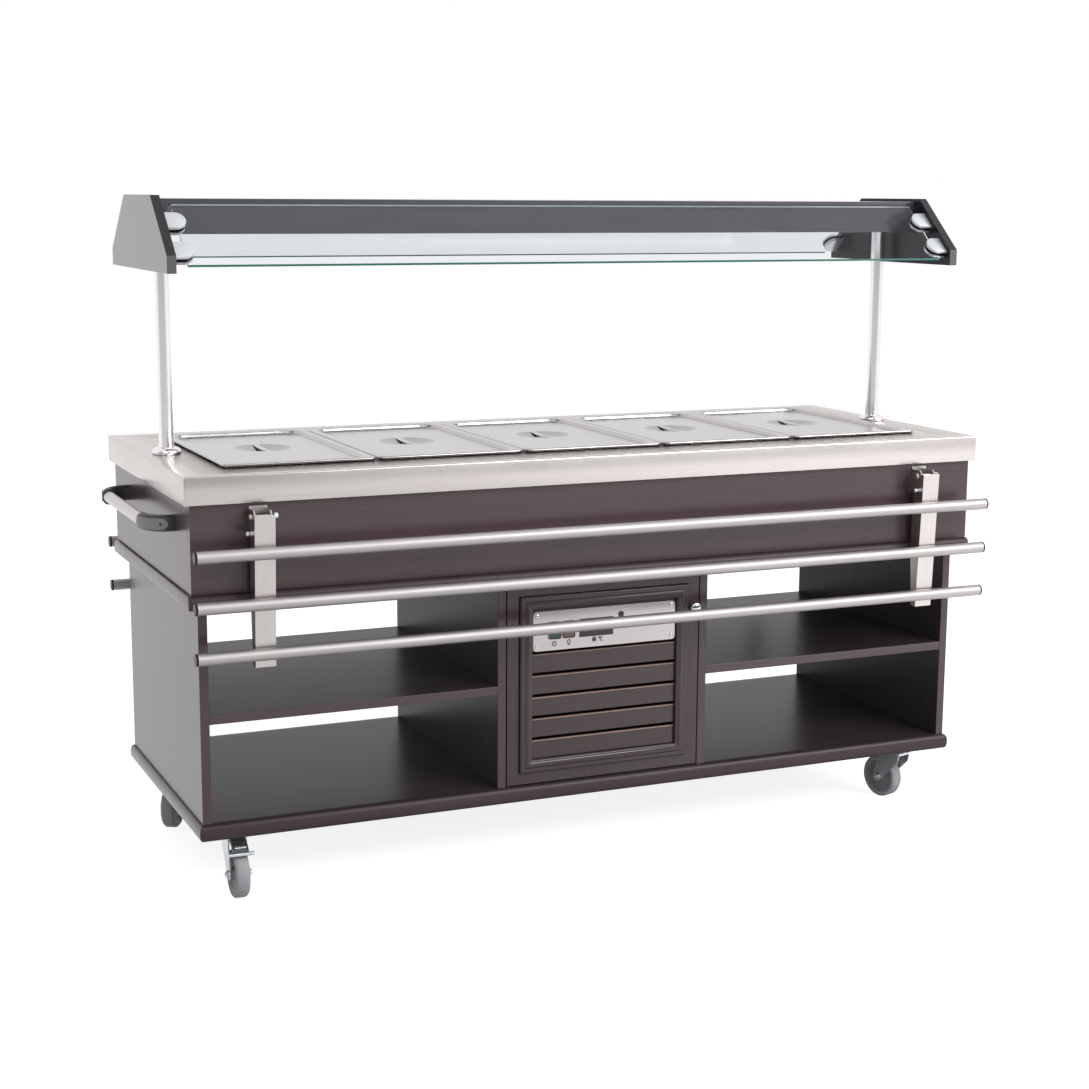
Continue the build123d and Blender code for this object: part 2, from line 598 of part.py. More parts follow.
SLAT_T = 12.0
SLAT_SLOT = 7.0
SLAT_RECESS = 1.0
SLAT_EASE = 1.5
slat_pitch = (LOUVRE_TOP - LOUVRE_BOTTOM) / SLATS
slat_face = DOOR_FACE + SLAT_RECESS
slats = []
for row in range(SLATS):
    foot = LOUVRE_BOTTOM + row * slat_pitch
    head = foot + slat_pitch - SLAT_SLOT
    outline = [(slat_face, foot), (slat_face + SLAT_T, foot), (slat_face + SLAT_T, head),
               (slat_face + SLAT_EASE, head), (slat_face, head - SLAT_EASE)]
    slats.append(along_x(outline, -LOUVRE_HALF_W, LOUVRE_HALF_W))
save("door_slats", *slats)

# Door pivots: two pins with shoulder washers, let into the base and the deck
WASHER_R = 7.0
PIVOT_PIN_L = 18.0
pivot_line = Pos(DOOR_PIVOT_X, DOOR_PIVOT_Y, 0)
washer = Pos(0, 0, (BASE_TOP + DOOR_BOTTOM) / 2) * Cylinder(WASHER_R, DOOR_BOTTOM - BASE_TOP)
lower_pivot = pivot_line * (Pos(0, 0, DOOR_BOTTOM) * Cylinder(PIVOT_PIN_R, PIVOT_PIN_L) + washer)
upper_pivot = pivot_line * Pos(0, 0, DECK_BOTTOM) * Cylinder(PIVOT_PIN_R, PIVOT_PIN_L)
save("door_pivots", lower_pivot, upper_pivot)

# Control plate with switch bezels, corner screws and a round cap, the controller, the rockers and the knob
PLATE_HALF_L = 170.0
CONTROL_PLATE_T = 1.5
PLATE_CORNER = 8.0
SCREW_R = 3.5
SCREW_INSET = 9.0
SCREW_H = 1.5
SCREW_BEVEL = 1.0
ROUND_CAP_X = 38.0
ROUND_CAP_Z = 533.0
ROUND_CAP_R = 6.5
ROUND_CAP_H = 2.5
plate_mid = (PLATE_TOP + PLATE_BOTTOM) / 2
plate_plane = Plane(origin=(0, DOOR_FACE, plate_mid), x_dir=(1, 0, 0), z_dir=(0, -1, 0))
plate_h = PLATE_TOP - PLATE_BOTTOM
plate = extrude(plate_plane * RectangleRounded(2 * PLATE_HALF_L, plate_h, PLATE_CORNER), CONTROL_PLATE_T)
plate = cut_for_controls(plate, DOOR_FACE - CONTROL_PLATE_T, DOOR_FACE)
plate_face = DOOR_FACE - CONTROL_PLATE_T
plate_solids = [plate]
for x in SWITCH_X:
    bezel = block(x - SWITCH_W / 2, x + SWITCH_W / 2, plate_face - BEZEL_T, plate_face,
                  SWITCH_Z - SWITCH_H / 2, SWITCH_Z + SWITCH_H / 2)
    plate_solids.append(cut_for_controls(bezel, plate_face - BEZEL_T, plate_face))
screw_points = [(0, 0), (SCREW_R, 0), (SCREW_R - SCREW_BEVEL, SCREW_H), (0, SCREW_H)]
screw_x = PLATE_HALF_L - SCREW_INSET
screw_z = plate_h / 2 - SCREW_INSET
for sx in (-1, 1):
    for sz in (-1, 1):
        spot = Pos(sx * screw_x, plate_face, plate_mid + sz * screw_z)
        plate_solids.append(turned(screw_points, spot * Rot(90, 0, 0)))
cap_shoulder = ROUND_CAP_H - SCREW_BEVEL
cap_points = [(0, 0), (ROUND_CAP_R, 0), (ROUND_CAP_R, cap_shoulder), (ROUND_CAP_R - SCREW_BEVEL, ROUND_CAP_H),
              (0, ROUND_CAP_H)]
plate_solids.append(turned(cap_points, Pos(ROUND_CAP_X, plate_face, ROUND_CAP_Z) * Rot(90, 0, 0)))
save("control_plate", *plate_solids)

half_w, half_h = controller_half
controller = block(CONTROLLER_X - CONTROLLER_W / 2, CONTROLLER_X + CONTROLLER_W / 2,
                   plate_face - CONTROLLER_PROUD, plate_face,
                   SWITCH_Z - CONTROLLER_H / 2, SWITCH_Z + CONTROLLER_H / 2)
front_rim = controller.faces().sort_by(Axis.Y)[0].edges()
controller = chamfer(front_rim, CONTROLLER_BEVEL)
controller += block(CONTROLLER_X - half_w, CONTROLLER_X + half_w, plate_face, plate_face + CONTROLLER_DEEP,
                    SWITCH_Z - half_h, SWITCH_Z + half_h)
save("controller", controller)

ROCKER_TILT = 8.0
ROCKER_CLEAR = 0.8
ROCKER_PROUD = 4.0
ROCKER_DEEP = 5.0
ROCKER_WAIST = 1.5
ROCKER_TAPER = 4.0
BARREL_R = 6.5
rocker_half_h = switch_half_h - ROCKER_CLEAR
rocker_half_w = switch_half_w - ROCKER_CLEAR / 2
rocker_outline = [
    (-ROCKER_PROUD, -rocker_half_h),
    (-ROCKER_PROUD + ROCKER_WAIST, 0),
    (-ROCKER_PROUD, rocker_half_h),
    (ROCKER_DEEP, rocker_half_h - ROCKER_TAPER),
    (ROCKER_DEEP, -rocker_half_h + ROCKER_TAPER),
]
rocker = along_x(rocker_outline, -rocker_half_w, rocker_half_w)
barrel = rod_x(BARREL_R, -rocker_half_w, rocker_half_w, 0, 0)
rocker += barrel - block(-SWITCH_W, SWITCH_W, -BARREL_R, 0, -BARREL_R, BARREL_R)
for name, x in zip(("rocker_power", "rocker_lamp"), SWITCH_X):
    save(name, Pos(x, plate_face, SWITCH_Z) * Rot(ROCKER_TILT, 0, 0) * rocker)

KNOB_X = 215.0
KNOB_Z = 536.0
KNOB_PROFILE = [(0, 0), (6, 0), (5, 8), (9, 11), (11.5, 14.5), (10.5, 18), (6, 20.5), (0, 21.2)]
door_knob = turned(KNOB_PROFILE, Pos(KNOB_X, DOOR_FACE, KNOB_Z) * Rot(90, 0, 0))
save("door_knob", door_knob)

# Condensing unit: compressor on its feet, condenser block with shroud and fan motor, and the fan
COMPRESSOR_R = 78.0
COMPRESSOR_H = 180.0
COMPRESSOR_X = 70.0
COMPRESSOR_Y = 110.0
COMPRESSOR_SEAT_R = 52.0
DOME_H = 40.0
FOOT_HALF = 14.0
FOOT_H = 20.0
FOOT_SPREAD = 62.0
MOUNT_HALF = 90.0
MOUNT_T = 3.0
comp_place = Pos(COMPRESSOR_X, COMPRESSOR_Y, BASE_TOP)
seat_z = FOOT_H + MOUNT_T
dome_z = seat_z + COMPRESSOR_H
shell_points = [(0, seat_z), (COMPRESSOR_SEAT_R, seat_z), (COMPRESSOR_R, seat_z + DOME_H / 2),
                (COMPRESSOR_R, dome_z - DOME_H), (COMPRESSOR_SEAT_R, dome_z - DOME_H / 4), (0, dome_z)]
compressor = turned(shell_points, comp_place)
foot = block(-FOOT_HALF, FOOT_HALF, -FOOT_HALF, FOOT_HALF, 0, FOOT_H)
feet = []
for sx in (-1, 1):
    for sy in (-1, 1):
        feet.append(comp_place * Pos(sx * FOOT_SPREAD, sy * FOOT_SPREAD, 0) * foot)
mount_plate = comp_place * block(-MOUNT_HALF, MOUNT_HALF, -MOUNT_HALF, MOUNT_HALF, FOOT_H, seat_z)
save("compressor", compressor, *feet, mount_plate)

CORE_HALF_W = 150.0
CORE_Y0 = -268.0
CORE_D = 44.0
CORE_H = 250.0
CORE_EDGE = 12.0
FIN_GROOVES = 9
FIN_GROOVE_W = 14.0
FIN_GROOVE_D = 12.0
core = block(-CORE_HALF_W, CORE_HALF_W, CORE_Y0, CORE_Y0 + CORE_D, BASE_TOP, BASE_TOP + CORE_H)
fin_pitch = 2 * (CORE_HALF_W - CORE_EDGE) / FIN_GROOVES
for groove in range(FIN_GROOVES):
    groove_mid = -CORE_HALF_W + CORE_EDGE + (groove + 0.5) * fin_pitch
    core -= block(groove_mid - FIN_GROOVE_W / 2, groove_mid + FIN_GROOVE_W / 2, CORE_Y0,
                  CORE_Y0 + FIN_GROOVE_D, BASE_TOP + CORE_EDGE, BASE_TOP + CORE_H - CORE_EDGE)

FAN_R = 100.0
FAN_GAP = 6.0
FAN_Z = BASE_TOP + CORE_H / 2
SHROUD_D = 34.0
core_back = CORE_Y0 + CORE_D
shroud = block(-CORE_HALF_W, CORE_HALF_W, core_back, core_back + SHROUD_D, BASE_TOP, BASE_TOP + CORE_H)
shroud -= Pos(0, core_back + SHROUD_D / 2, FAN_Z) * Rot(90, 0, 0) * Cylinder(FAN_R + FAN_GAP, SHROUD_D)

# The motor hangs on a strap behind the shroud, with its shaft towards the core
MOTOR_R = 32.0
MOTOR_L = 60.0
MOTOR_SETBACK = 54.0
SHAFT_R = 4.0
SHAFT_TIP = 14.0
STAY_T = 3.0
STAY_HALF_H = 14.0
STAY_SETBACK = 20.0
motor_face = core_back + MOTOR_SETBACK
motor_back = motor_face + MOTOR_L
fan_axis = Pos(0, 0, FAN_Z) * Rot(90, 0, 0)
motor = turned([(0, -motor_back), (MOTOR_R, -motor_back), (MOTOR_R, -motor_face), (SHAFT_R, -motor_face),
                (SHAFT_R, -core_back - SHAFT_TIP), (0, -core_back - SHAFT_TIP)], fan_axis)
stay_y = motor_face + STAY_SETBACK
stay = block(-CORE_HALF_W, CORE_HALF_W, stay_y, stay_y + STAY_T, FAN_Z - STAY_HALF_H, FAN_Z + STAY_HALF_H)
stay -= Pos(0, stay_y, FAN_Z) * Rot(90, 0, 0) * Cylinder(MOTOR_R, MOTOR_L)
stay_leg = block(-CORE_HALF_W, -CORE_HALF_W + STAY_T, core_back + SHROUD_D, stay_y + STAY_T,
                 FAN_Z - STAY_HALF_H, FAN_Z + STAY_HALF_H)
left_stay = stay.solids().sort_by(Axis.X)[0] + stay_leg
save("condenser", core, shroud, motor, left_stay, mirrored_x(left_stay))

# Fan: a moulded hub on the motor shaft with flat pitched blades
BLADES = 5
HUB_R = 24.0
HUB_L = 26.0
HUB_CHAMFER = 3.0
HUB_SETBACK = 18.0
BLADE_T = 2.0
BLADE_CHORD = 26.0
BLADE_PITCH = 35.0
BLADE_ROOT = 4.0
hub_face = core_back + HUB_SETBACK
hub_bore = SHAFT_R + RUNNING_FIT
hub_back = hub_face + HUB_L
rotor = turned([(hub_bore, -hub_back), (HUB_R, -hub_back), (HUB_R, -hub_face - HUB_CHAMFER),
                (HUB_R - HUB_CHAMFER, -hub_face), (hub_bore, -hub_face)], fan_axis)
blade_mid = (HUB_R - BLADE_ROOT + FAN_R) / 2
blade_span = FAN_R - HUB_R + BLADE_ROOT
vane_place = Pos(blade_mid, 0, -hub_face - HUB_L / 2) * Rot(BLADE_PITCH, 0, 0)
vane = vane_place * Box(blade_span, BLADE_CHORD, BLADE_T)
for blade in range(BLADES):
    rotor += fan_axis * Rot(0, 0, blade * 360 / BLADES) * vane
save("fan_rotor", rotor)

# Castor top plate: fixed to the base board, with the upper race and the king pin
CASTOR_PLATE_HALF = (42.0, 48.0)
CASTOR_PLATE_T = 3.0
RACE_R = 27.0
RACE_FOOT_R = 22.0
RACE_RIM = 9.0
RACE_GAP = 0.2
KING_R = 5.0
KING_TAIL = 3.0
CROWN_TOP = 118.0
CROWN_T = 4.0
plate_foot = BASE_BOTTOM - CASTOR_PLATE_T
half_x, half_y = CASTOR_PLATE_HALF
king_end = CROWN_TOP - CROWN_T - KING_TAIL
top_plate = block(-half_x, half_x, -half_y, half_y, plate_foot, BASE_BOTTOM)
race_foot = CROWN_TOP + RACE_GAP
race_points = [
    (0, plate_foot),
    (RACE_R, plate_foot),
    (RACE_R, plate_foot - RACE_RIM),
    (RACE_FOOT_R, race_foot),
    (KING_R, race_foot),
    (KING_R, king_end),
    (0, king_end),
]
top_plate += turned(race_points, Pos(0, 0, 0))

# Castor fork: a pressed crown with two raked legs, lugs for the brake pin, and the axle bolt with its nuts
FORK_IN = WHEEL_W / 2 + 2.0
FORK_T = 3.0
CROWN_HALF = 27.0
LEG_BROW = 22.0
LEG_TIP_HALF = 11.0
LEG_TIP_FLAT = 5.0
LEG_TIP_DROP = 12.0
PEDAL_PIN_R = 2.5
PEDAL_PIN_Y = -33.0
PEDAL_PIN_Z = 123.0
LUG_R = 5.0
LUG_FOOT_Z = 104.0
NUT_R = 8.0
NUT_T = 5.0
BOLT_TAIL = 3.0
fork_out = FORK_IN + FORK_T
through = 2 * fork_out
crown = block(-fork_out, fork_out, -CROWN_HALF, CROWN_HALF, CROWN_TOP - CROWN_T, CROWN_TOP)
crown -= Pos(0, 0, CROWN_TOP) * Cylinder(KING_R + RUNNING_FIT, 4 * CROWN_T)
leg_outline = [
    (-CROWN_HALF, CROWN_TOP),
    (CROWN_HALF, CROWN_TOP),
    (CROWN_HALF - LEG_TIP_FLAT, CROWN_TOP - LEG_BROW),
    (-CASTOR_TRAIL + LEG_TIP_HALF, WHEEL_R - LEG_TIP_DROP / 2),
    (-CASTOR_TRAIL + LEG_TIP_FLAT, WHEEL_R - LEG_TIP_DROP),
    (-CASTOR_TRAIL - LEG_TIP_FLAT, WHEEL_R - LEG_TIP_DROP),
    (-CASTOR_TRAIL - LEG_TIP_HALF, WHEEL_R - LEG_TIP_DROP / 2),
    (-CASTOR_TRAIL - LEG_TIP_HALF, WHEEL_R + LEG_TIP_DROP),
    (PEDAL_PIN_Y - LUG_R, LUG_FOOT_Z),
    (PEDAL_PIN_Y - LUG_R, PEDAL_PIN_Z + LUG_R),
    (PEDAL_PIN_Y + LUG_R - 1, PEDAL_PIN_Z + LUG_R),
]
fork_leg = along_x(leg_outline, FORK_IN, fork_out)
fork = crown + fork_leg + mirrored_x(fork_leg)
fork -= rod_x(AXLE_R, -through, through, -CASTOR_TRAIL, WHEEL_R)
fork -= rod_x(PEDAL_PIN_R, -through, through, PEDAL_PIN_Y, PEDAL_PIN_Z)
axle = rod_x(AXLE_R, -fork_out, fork_out, -CASTOR_TRAIL, WHEEL_R)
bolt_end = NUT_T + BOLT_TAIL
nut = turned([(0, 0), (NUT_R, 0), (NUT_R, NUT_T), (AXLE_R, NUT_T), (AXLE_R, bolt_end), (0, bolt_end)],
             Pos(fork_out, -CASTOR_TRAIL, WHEEL_R) * Rot(0, 90, 0))
axle += nut
axle += mirrored_x(nut)
pedal_pin = rod_x(PEDAL_PIN_R, -fork_out - 1, fork_out + 1, PEDAL_PIN_Y, PEDAL_PIN_Z)

# Castor wheel: a tyre with rounded shoulders on a slightly dished hub
TREAD_ROUND = 5.0
HUB_FACE_R = 38.0
HUB_DISH = 3.0
wheel_side = WHEEL_W / 2
wheel_bore = AXLE_R + RUNNING_FIT
wheel_points = [
    (wheel_bore, -wheel_side),
    (HUB_FACE_R, -wheel_side + HUB_DISH),
    (WHEEL_R - TREAD_ROUND, -wheel_side),
    (WHEEL_R, -wheel_side + TREAD_ROUND),
    (WHEEL_R, wheel_side - TREAD_ROUND),
    (WHEEL_R - TREAD_ROUND, wheel_side),
    (HUB_FACE_R, wheel_side - HUB_DISH),
    (wheel_bore, wheel_side),
]
wheel = turned(wheel_points, Pos(0, -CASTOR_TRAIL, WHEEL_R) * Rot(0, 90, 0))

# Brake pedal: a sloping plate on the pin between the fork's lugs, with a cross bar for the foot
PEDAL_HALF_W = FORK_IN - 0.5
PEDAL_T = 5.0
PEDAL_TIP_Y = -74.0
PEDAL_TIP_Z = 101.0
TREAD_BAR_R = 4.0
TREAD_BAR_HALF = 26.0
pedal_outline = [
    (PEDAL_PIN_Y + LUG_R - 2, PEDAL_PIN_Z + LUG_R),
    (PEDAL_PIN_Y - LUG_R - 1, PEDAL_PIN_Z + LUG_R),
    (PEDAL_TIP_Y, PEDAL_TIP_Z + PEDAL_T / 2),
    (PEDAL_TIP_Y, PEDAL_TIP_Z - PEDAL_T / 2),
    (PEDAL_PIN_Y - LUG_R - 2, PEDAL_PIN_Z - LUG_R),
    (PEDAL_PIN_Y + LUG_R - 2, PEDAL_PIN_Z - LUG_R + 1),
]
pedal = along_x(pedal_outline, -PEDAL_HALF_W, PEDAL_HALF_W)
pedal -= rod_x(PEDAL_PIN_R + RUNNING_FIT, -through, through, PEDAL_PIN_Y, PEDAL_PIN_Z)
pedal += rod_x(TREAD_BAR_R, -TREAD_BAR_HALF, TREAD_BAR_HALF, PEDAL_TIP_Y, PEDAL_TIP_Z)

# The four castors: place, swivel as photographed, and whether there is a brake
CASTORS = {
    "front_left": (-CASTOR_X, -CASTOR_Y, -2.0, True),
    "front_right": (CASTOR_X, -CASTOR_Y, 195.0, True),
    "rear_left": (-CASTOR_X, CASTOR_Y, -30.0, False),
    "rear_right": (CASTOR_X, CASTOR_Y, 150.0, False),
}
save("castor_plates", *[Pos(x, y, 0) * top_plate for x, y, turn, brake in CASTORS.values()])
for corner, (x, y, turn, brake) in CASTORS.items():
    stand = Pos(x, y, 0) * Rot(0, 0, turn)
    fork_pieces = [fork, axle, pedal_pin] if brake else [fork, axle]
    save(f"castor_fork_{corner}", *[stand * piece for piece in fork_pieces])
    save(f"castor_wheel_{corner}", stand * wheel)
    if brake:
        save(f"brake_pedal_{corner}", stand * pedal)
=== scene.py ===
from math import atan2, cos, degrees, hypot, pi, radians, sin, sqrt

import bmesh
import bpy
from mathutils import Euler, Matrix, Vector


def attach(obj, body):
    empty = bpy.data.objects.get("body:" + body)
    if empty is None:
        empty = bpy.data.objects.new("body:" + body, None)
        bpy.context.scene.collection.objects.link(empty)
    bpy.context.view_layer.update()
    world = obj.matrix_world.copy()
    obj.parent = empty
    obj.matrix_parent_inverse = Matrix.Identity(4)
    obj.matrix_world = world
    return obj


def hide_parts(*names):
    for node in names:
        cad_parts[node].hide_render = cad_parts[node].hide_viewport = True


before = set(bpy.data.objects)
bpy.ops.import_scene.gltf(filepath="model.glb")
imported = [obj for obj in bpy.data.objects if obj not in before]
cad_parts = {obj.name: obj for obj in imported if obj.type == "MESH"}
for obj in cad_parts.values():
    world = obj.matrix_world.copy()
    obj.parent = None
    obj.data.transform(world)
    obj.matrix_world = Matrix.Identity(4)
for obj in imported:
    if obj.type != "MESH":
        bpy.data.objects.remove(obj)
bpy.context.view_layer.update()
scene = bpy.context.scene
scene.view_settings.view_transform = "Standard"
MM = 0.001

# Camera: a tall tripod in front of the left half of the counter, with a moderate telephoto lens,
# turned to the right and tipped down a little.
CAMERA_PLACE = (-1.7721, -4.0681, 1.4350)
CAMERA_TURN = -23.82
CAMERA_TILT = 79.81
CAMERA_ROLL = 0.36
CAMERA_LENS = 64.79
SENSOR_WIDTH = 36.0
FAR_LIMIT = 100.0
camera_data = bpy.data.cameras.new("camera")
camera_data.lens = CAMERA_LENS
camera_data.sensor_width = SENSOR_WIDTH
camera_data.sensor_fit = "HORIZONTAL"
camera_data.clip_end = FAR_LIMIT
camera = bpy.data.objects.new("camera", camera_data)
scene.collection.objects.link(camera)
camera_turn = Euler((radians(CAMERA_TILT), 0, radians(CAMERA_TURN))).to_matrix()
camera_roll = Matrix.Rotation(radians(CAMERA_ROLL), 3, "Z")
camera.matrix_world = Matrix.Translation(CAMERA_PLACE) @ (camera_turn @ camera_roll).to_4x4()
scene.camera = camera


# Studio: a seamless white floor under a white surround, with the dim side of the room behind the
# camera. The floor takes a soft shadow, and its own glow is only for what the eye, mirrors and glass see.
def linear(colour):
    """An sRGB hex colour as linear RGBA."""
    parts = [int(colour[place:place + 2], 16) / 255 for place in (1, 3, 5)]
    return [part / 12.92 if part <= 0.04045 else ((part + 0.055) / 1.055) ** 2.4 for part in parts] + [1.0]


def wire(tree, made, inputs):
    """Sets a node's inputs. Each is a value, or a socket to link from."""
    for name, value in inputs.items():
        if isinstance(value, bpy.types.NodeSocket):
            tree.links.new(value, made.inputs[name])
        else:
            made.inputs[name].default_value = value


def node(tree, kind, inputs=(), **settings):
    """Adds a node with its settings and inputs."""
    made = tree.nodes.new(kind)
    for name, value in settings.items():
        setattr(made, name, value)
    wire(tree, made, dict(inputs))
    return made


def maths(tree, operation, first, second):
    """The result of an operation on two numbers or sockets."""
    return node(tree, "ShaderNodeMath", {0: first, 1: second}, operation=operation).outputs[0]


def vectors(tree, operation, first, second=(0, 0, 0), result="Vector"):
    """The result of an operation on two vectors or sockets."""
    return node(tree, "ShaderNodeVectorMath", {0: first, 1: second}, operation=operation).outputs[result]


def between(tree, value, low, high, reach=(0.0, 1.0), **settings):
    """A number that runs from low to high while a value runs through its reach."""
    inputs = {"Value": value, "From Min": reach[0], "From Max": reach[1], "To Min": low, "To Max": high}
    return node(tree, "ShaderNodeMapRange", inputs, **settings).outputs[0]


WHITE = linear("#ffffff")
SURROUND_LIGHT = 0.38
DIM_SIDE = (-0.5, -0.866, 0.0)
DIM_LEVEL = 0.45
DIM_FLOOR = 0.5
DIM_REACH = (0.35, 0.85)
FIRST_BOUNCE = 0.5


def seen(tree, path):
    """1 for what the eye sees, also through glass, but not after light has met a matt surface."""
    direct = maths(tree, "LESS_THAN", path["Diffuse Depth"], FIRST_BOUNCE)
    through = maths(tree, "MULTIPLY", path["Is Transmission Ray"], direct)
    return maths(tree, "MAXIMUM", path["Is Camera Ray"], through)


def dimmed(tree, way, level):
    """1 all round, but falling to a level toward the dim side of the room."""
    side = vectors(tree, "DOT_PRODUCT", way, DIM_SIDE, "Value")
    return between(tree, side, 1.0, level, DIM_REACH, interpolation_type="SMOOTHSTEP")


world = bpy.data.worlds.new("white_surround")
world.use_nodes = True
scene.world = world
sky = world.node_tree
sky_path = node(sky, "ShaderNodeLightPath").outputs
sky_mirrored = dimmed(sky, node(sky, "ShaderNodeTexCoord").outputs["Generated"], DIM_LEVEL)
sky_lighting = between(sky, sky_path["Is Glossy Ray"], SURROUND_LIGHT, sky_mirrored)
sky_level = between(sky, seen(sky, sky_path), sky_lighting, 1.0)
wire(sky, sky.nodes["Background"], {"Color": WHITE, "Strength": sky_level})

FLOOR_HALF = 30.0
FLOOR_TONE = "#c8c8c8"
FLOOR_GLOW = 0.85
# The shaded patch of floor that mirrors see under the counter, and the width of its soft edge
SHADE_MIDDLE = (0.15, 0.0, 0.0)
SHADE_HALF = (0.72, 0.3, 0.0)
SHADE_EDGE = 0.3
floor_mesh = bpy.data.meshes.new("floor")
floor_corners = [(-FLOOR_HALF, -FLOOR_HALF, 0), (FLOOR_HALF, -FLOOR_HALF, 0),
                 (FLOOR_HALF, FLOOR_HALF, 0), (-FLOOR_HALF, FLOOR_HALF, 0)]
floor_mesh.from_pydata(floor_corners, [], [(0, 1, 2, 3)])
floor = bpy.data.objects.new("floor", floor_mesh)
scene.collection.objects.link(floor)
floor_paint = bpy.data.materials.new("matt_white_studio_paint")
floor_paint.use_nodes = True
paint = floor_paint.node_tree
paint.nodes.clear()
floor_matt = node(paint, "ShaderNodeBsdfDiffuse", {"Color": linear(FLOOR_TONE)})
floor_place = node(paint, "ShaderNodeTexCoord").outputs["Object"]
floor_beside = vectors(paint, "ABSOLUTE", vectors(paint, "SUBTRACT", floor_place, SHADE_MIDDLE))
floor_past = vectors(paint, "MAXIMUM", vectors(paint, "SUBTRACT", floor_beside, SHADE_HALF))
floor_away = vectors(paint, "LENGTH", floor_past, result="Value")
floor_open = between(paint, floor_away, 0.0, 1.0, (0.0, SHADE_EDGE), interpolation_type="SMOOTHSTEP")
floor_dim = dimmed(paint, vectors(paint, "NORMALIZE", floor_place), DIM_FLOOR)
floor_path = node(paint, "ShaderNodeLightPath").outputs
floor_bright = maths(paint, "MULTIPLY", floor_open, floor_dim)
floor_mirrored = maths(paint, "MULTIPLY", floor_path["Is Glossy Ray"], floor_bright)
floor_shown = maths(paint, "MAXIMUM", seen(paint, floor_path), floor_mirrored)
floor_level = maths(paint, "MULTIPLY", floor_shown, FLOOR_GLOW)
floor_glow = node(paint, "ShaderNodeEmission", {"Color": WHITE, "Strength": floor_level})
floor_sum = node(paint, "ShaderNodeAddShader", {0: floor_matt.outputs[0], 1: floor_glow.outputs[0]})
node(paint, "ShaderNodeOutputMaterial", {"Surface": floor_sum.outputs[0]})
floor_mesh.materials.append(floor_paint)

SOFTBOX_SIZE = (3.6, 2.6)
KEY_PLACE = (3.0, -4.0, 3.4)
KEY_TARGET = (0.0, 0.0, 0.7)
KEY_POWER = 240
FILL_PLACE = (-2.4, -4.2, 3.6)
FILL_TARGET = (0.0, 0.0, 0.8)
FILL_POWER = 45


def softbox(name, place, target, power):
    """A rectangular soft light that faces a point."""
    data = bpy.data.lights.new(name, "AREA")
    data.shape = "RECTANGLE"
    data.size = SOFTBOX_SIZE[0]
    data.size_y = SOFTBOX_SIZE[1]
    data.energy = power
    made = bpy.data.objects.new(name, data)
    scene.collection.objects.link(made)
    made.location = place
    made.rotation_euler = (Vector(target) - Vector(place)).to_track_quat("-Z", "Y").to_euler()


softbox("key_high_right", KEY_PLACE, KEY_TARGET, KEY_POWER)
softbox("fill_high_left", FILL_PLACE, FILL_TARGET, FILL_POWER)

# Boards: wood-grain melamine laminate on chipboard, cut square and edged with the same foil. It looks
# dark brown with fine grain that runs along each board. The outside has a satin gloss that mirrors
# the bright surround softly. The faces inside the bays are duller and painted darker, as painted
# shade. The outward end faces are painted lighter, as a painted sheen. The rounded long edges of the
# deck and base boards are rougher and painted darker, as painted shade.
GRAIN_WIDTH = 5.0
GRAIN_LENGTH = 150.0
FIGURE_WIDTH = 38.0
FIGURE_LENGTH = 700.0
FIGURE_SHARE = 0.4
TONE_STOPS = (0.33, 0.5, 0.68)
PORE_DEPTH = 0.12
PORE_RELIEF = 0.05
WENGE = ("#423236", "#47373a", "#4d3d3f")
# The inside tones are the same laminate painted darker, as painted shade inside the bays
WENGE_SHADED_INSIDE = ("#30292c", "#352e31", "#3a3336")
# The end tones are the same laminate painted lighter, as a painted sheen on the outward end faces
WENGE_SHEEN_END = ("#524143", "#574648", "#5c4b4d")
# The edge tones are the same laminate painted darker, as painted shade on the rounded long edges
WENGE_SHADED_EDGE = ("#3a2c2f", "#3f3134", "#45373a")
OUTSIDE_GLOSS = (0.22, 0.27)
INSIDE_GLOSS = (0.28, 0.34)
EDGE_GLOSS = (0.4, 0.46)


def new_material(name):
    """A named material with its node tree and main shader."""
    material = bpy.data.materials.new(name)
    material.use_nodes = True
    return material, material.node_tree, material.node_tree.nodes["Principled BSDF"]


def noise(tree, sizes_mm, **inputs):
    """Noise in object coordinates. One unit of it has these sizes in millimetres."""
    place = node(tree, "ShaderNodeTexCoord").outputs["Object"]
    scale = [1 / MM / size for size in sizes_mm]
    stretched = node(tree, "ShaderNodeMapping", {"Vector": place, "Scale": scale}).outputs[0]
    return node(tree, "ShaderNodeTexNoise", {"Vector": stretched, "Scale": 1.0, **inputs}).outputs["Fac"]


def lengthways(along, length, width):
    """The sizes of a pattern that runs along an axis."""
    return [length if axis == along else width for axis in "XYZ"]


def laminate(name, along, tones, gloss, shine, relief=PORE_RELIEF):
    """Grained laminate. The pores are drawn a few millimetres wide, so that they show at this distance."""
    material, tree, shader = new_material(name)
    grain = noise(tree, lengthways(along, GRAIN_LENGTH, GRAIN_WIDTH), Detail=5.0, Roughness=0.65)
    figure = noise(tree, lengthways(along, FIGURE_LENGTH, FIGURE_WIDTH), Detail=3.0, Distortion=0.6)
    both = node(tree, "ShaderNodeMix", {"Factor": FIGURE_SHARE, "A": grain, "B": figure})
    tone = node(tree, "ShaderNodeValToRGB", {"Fac": both.outputs["Result"]})
    stops = tone.color_ramp.elements
    stops.new(TONE_STOPS[1])
    for stop, place, colour in zip(stops, TONE_STOPS, tones):
        stop.position = place
        stop.color = linear(colour)
    pores = node(tree, "ShaderNodeBump", {"Height": grain, "Strength": relief, "Distance": PORE_DEPTH * MM})
    wire(tree, shader, {"Base Color": tone.outputs["Color"], "Roughness": between(tree, grain, *gloss),
                        "Normal": pores.outputs[0], "Specular IOR Level": shine})
    return material


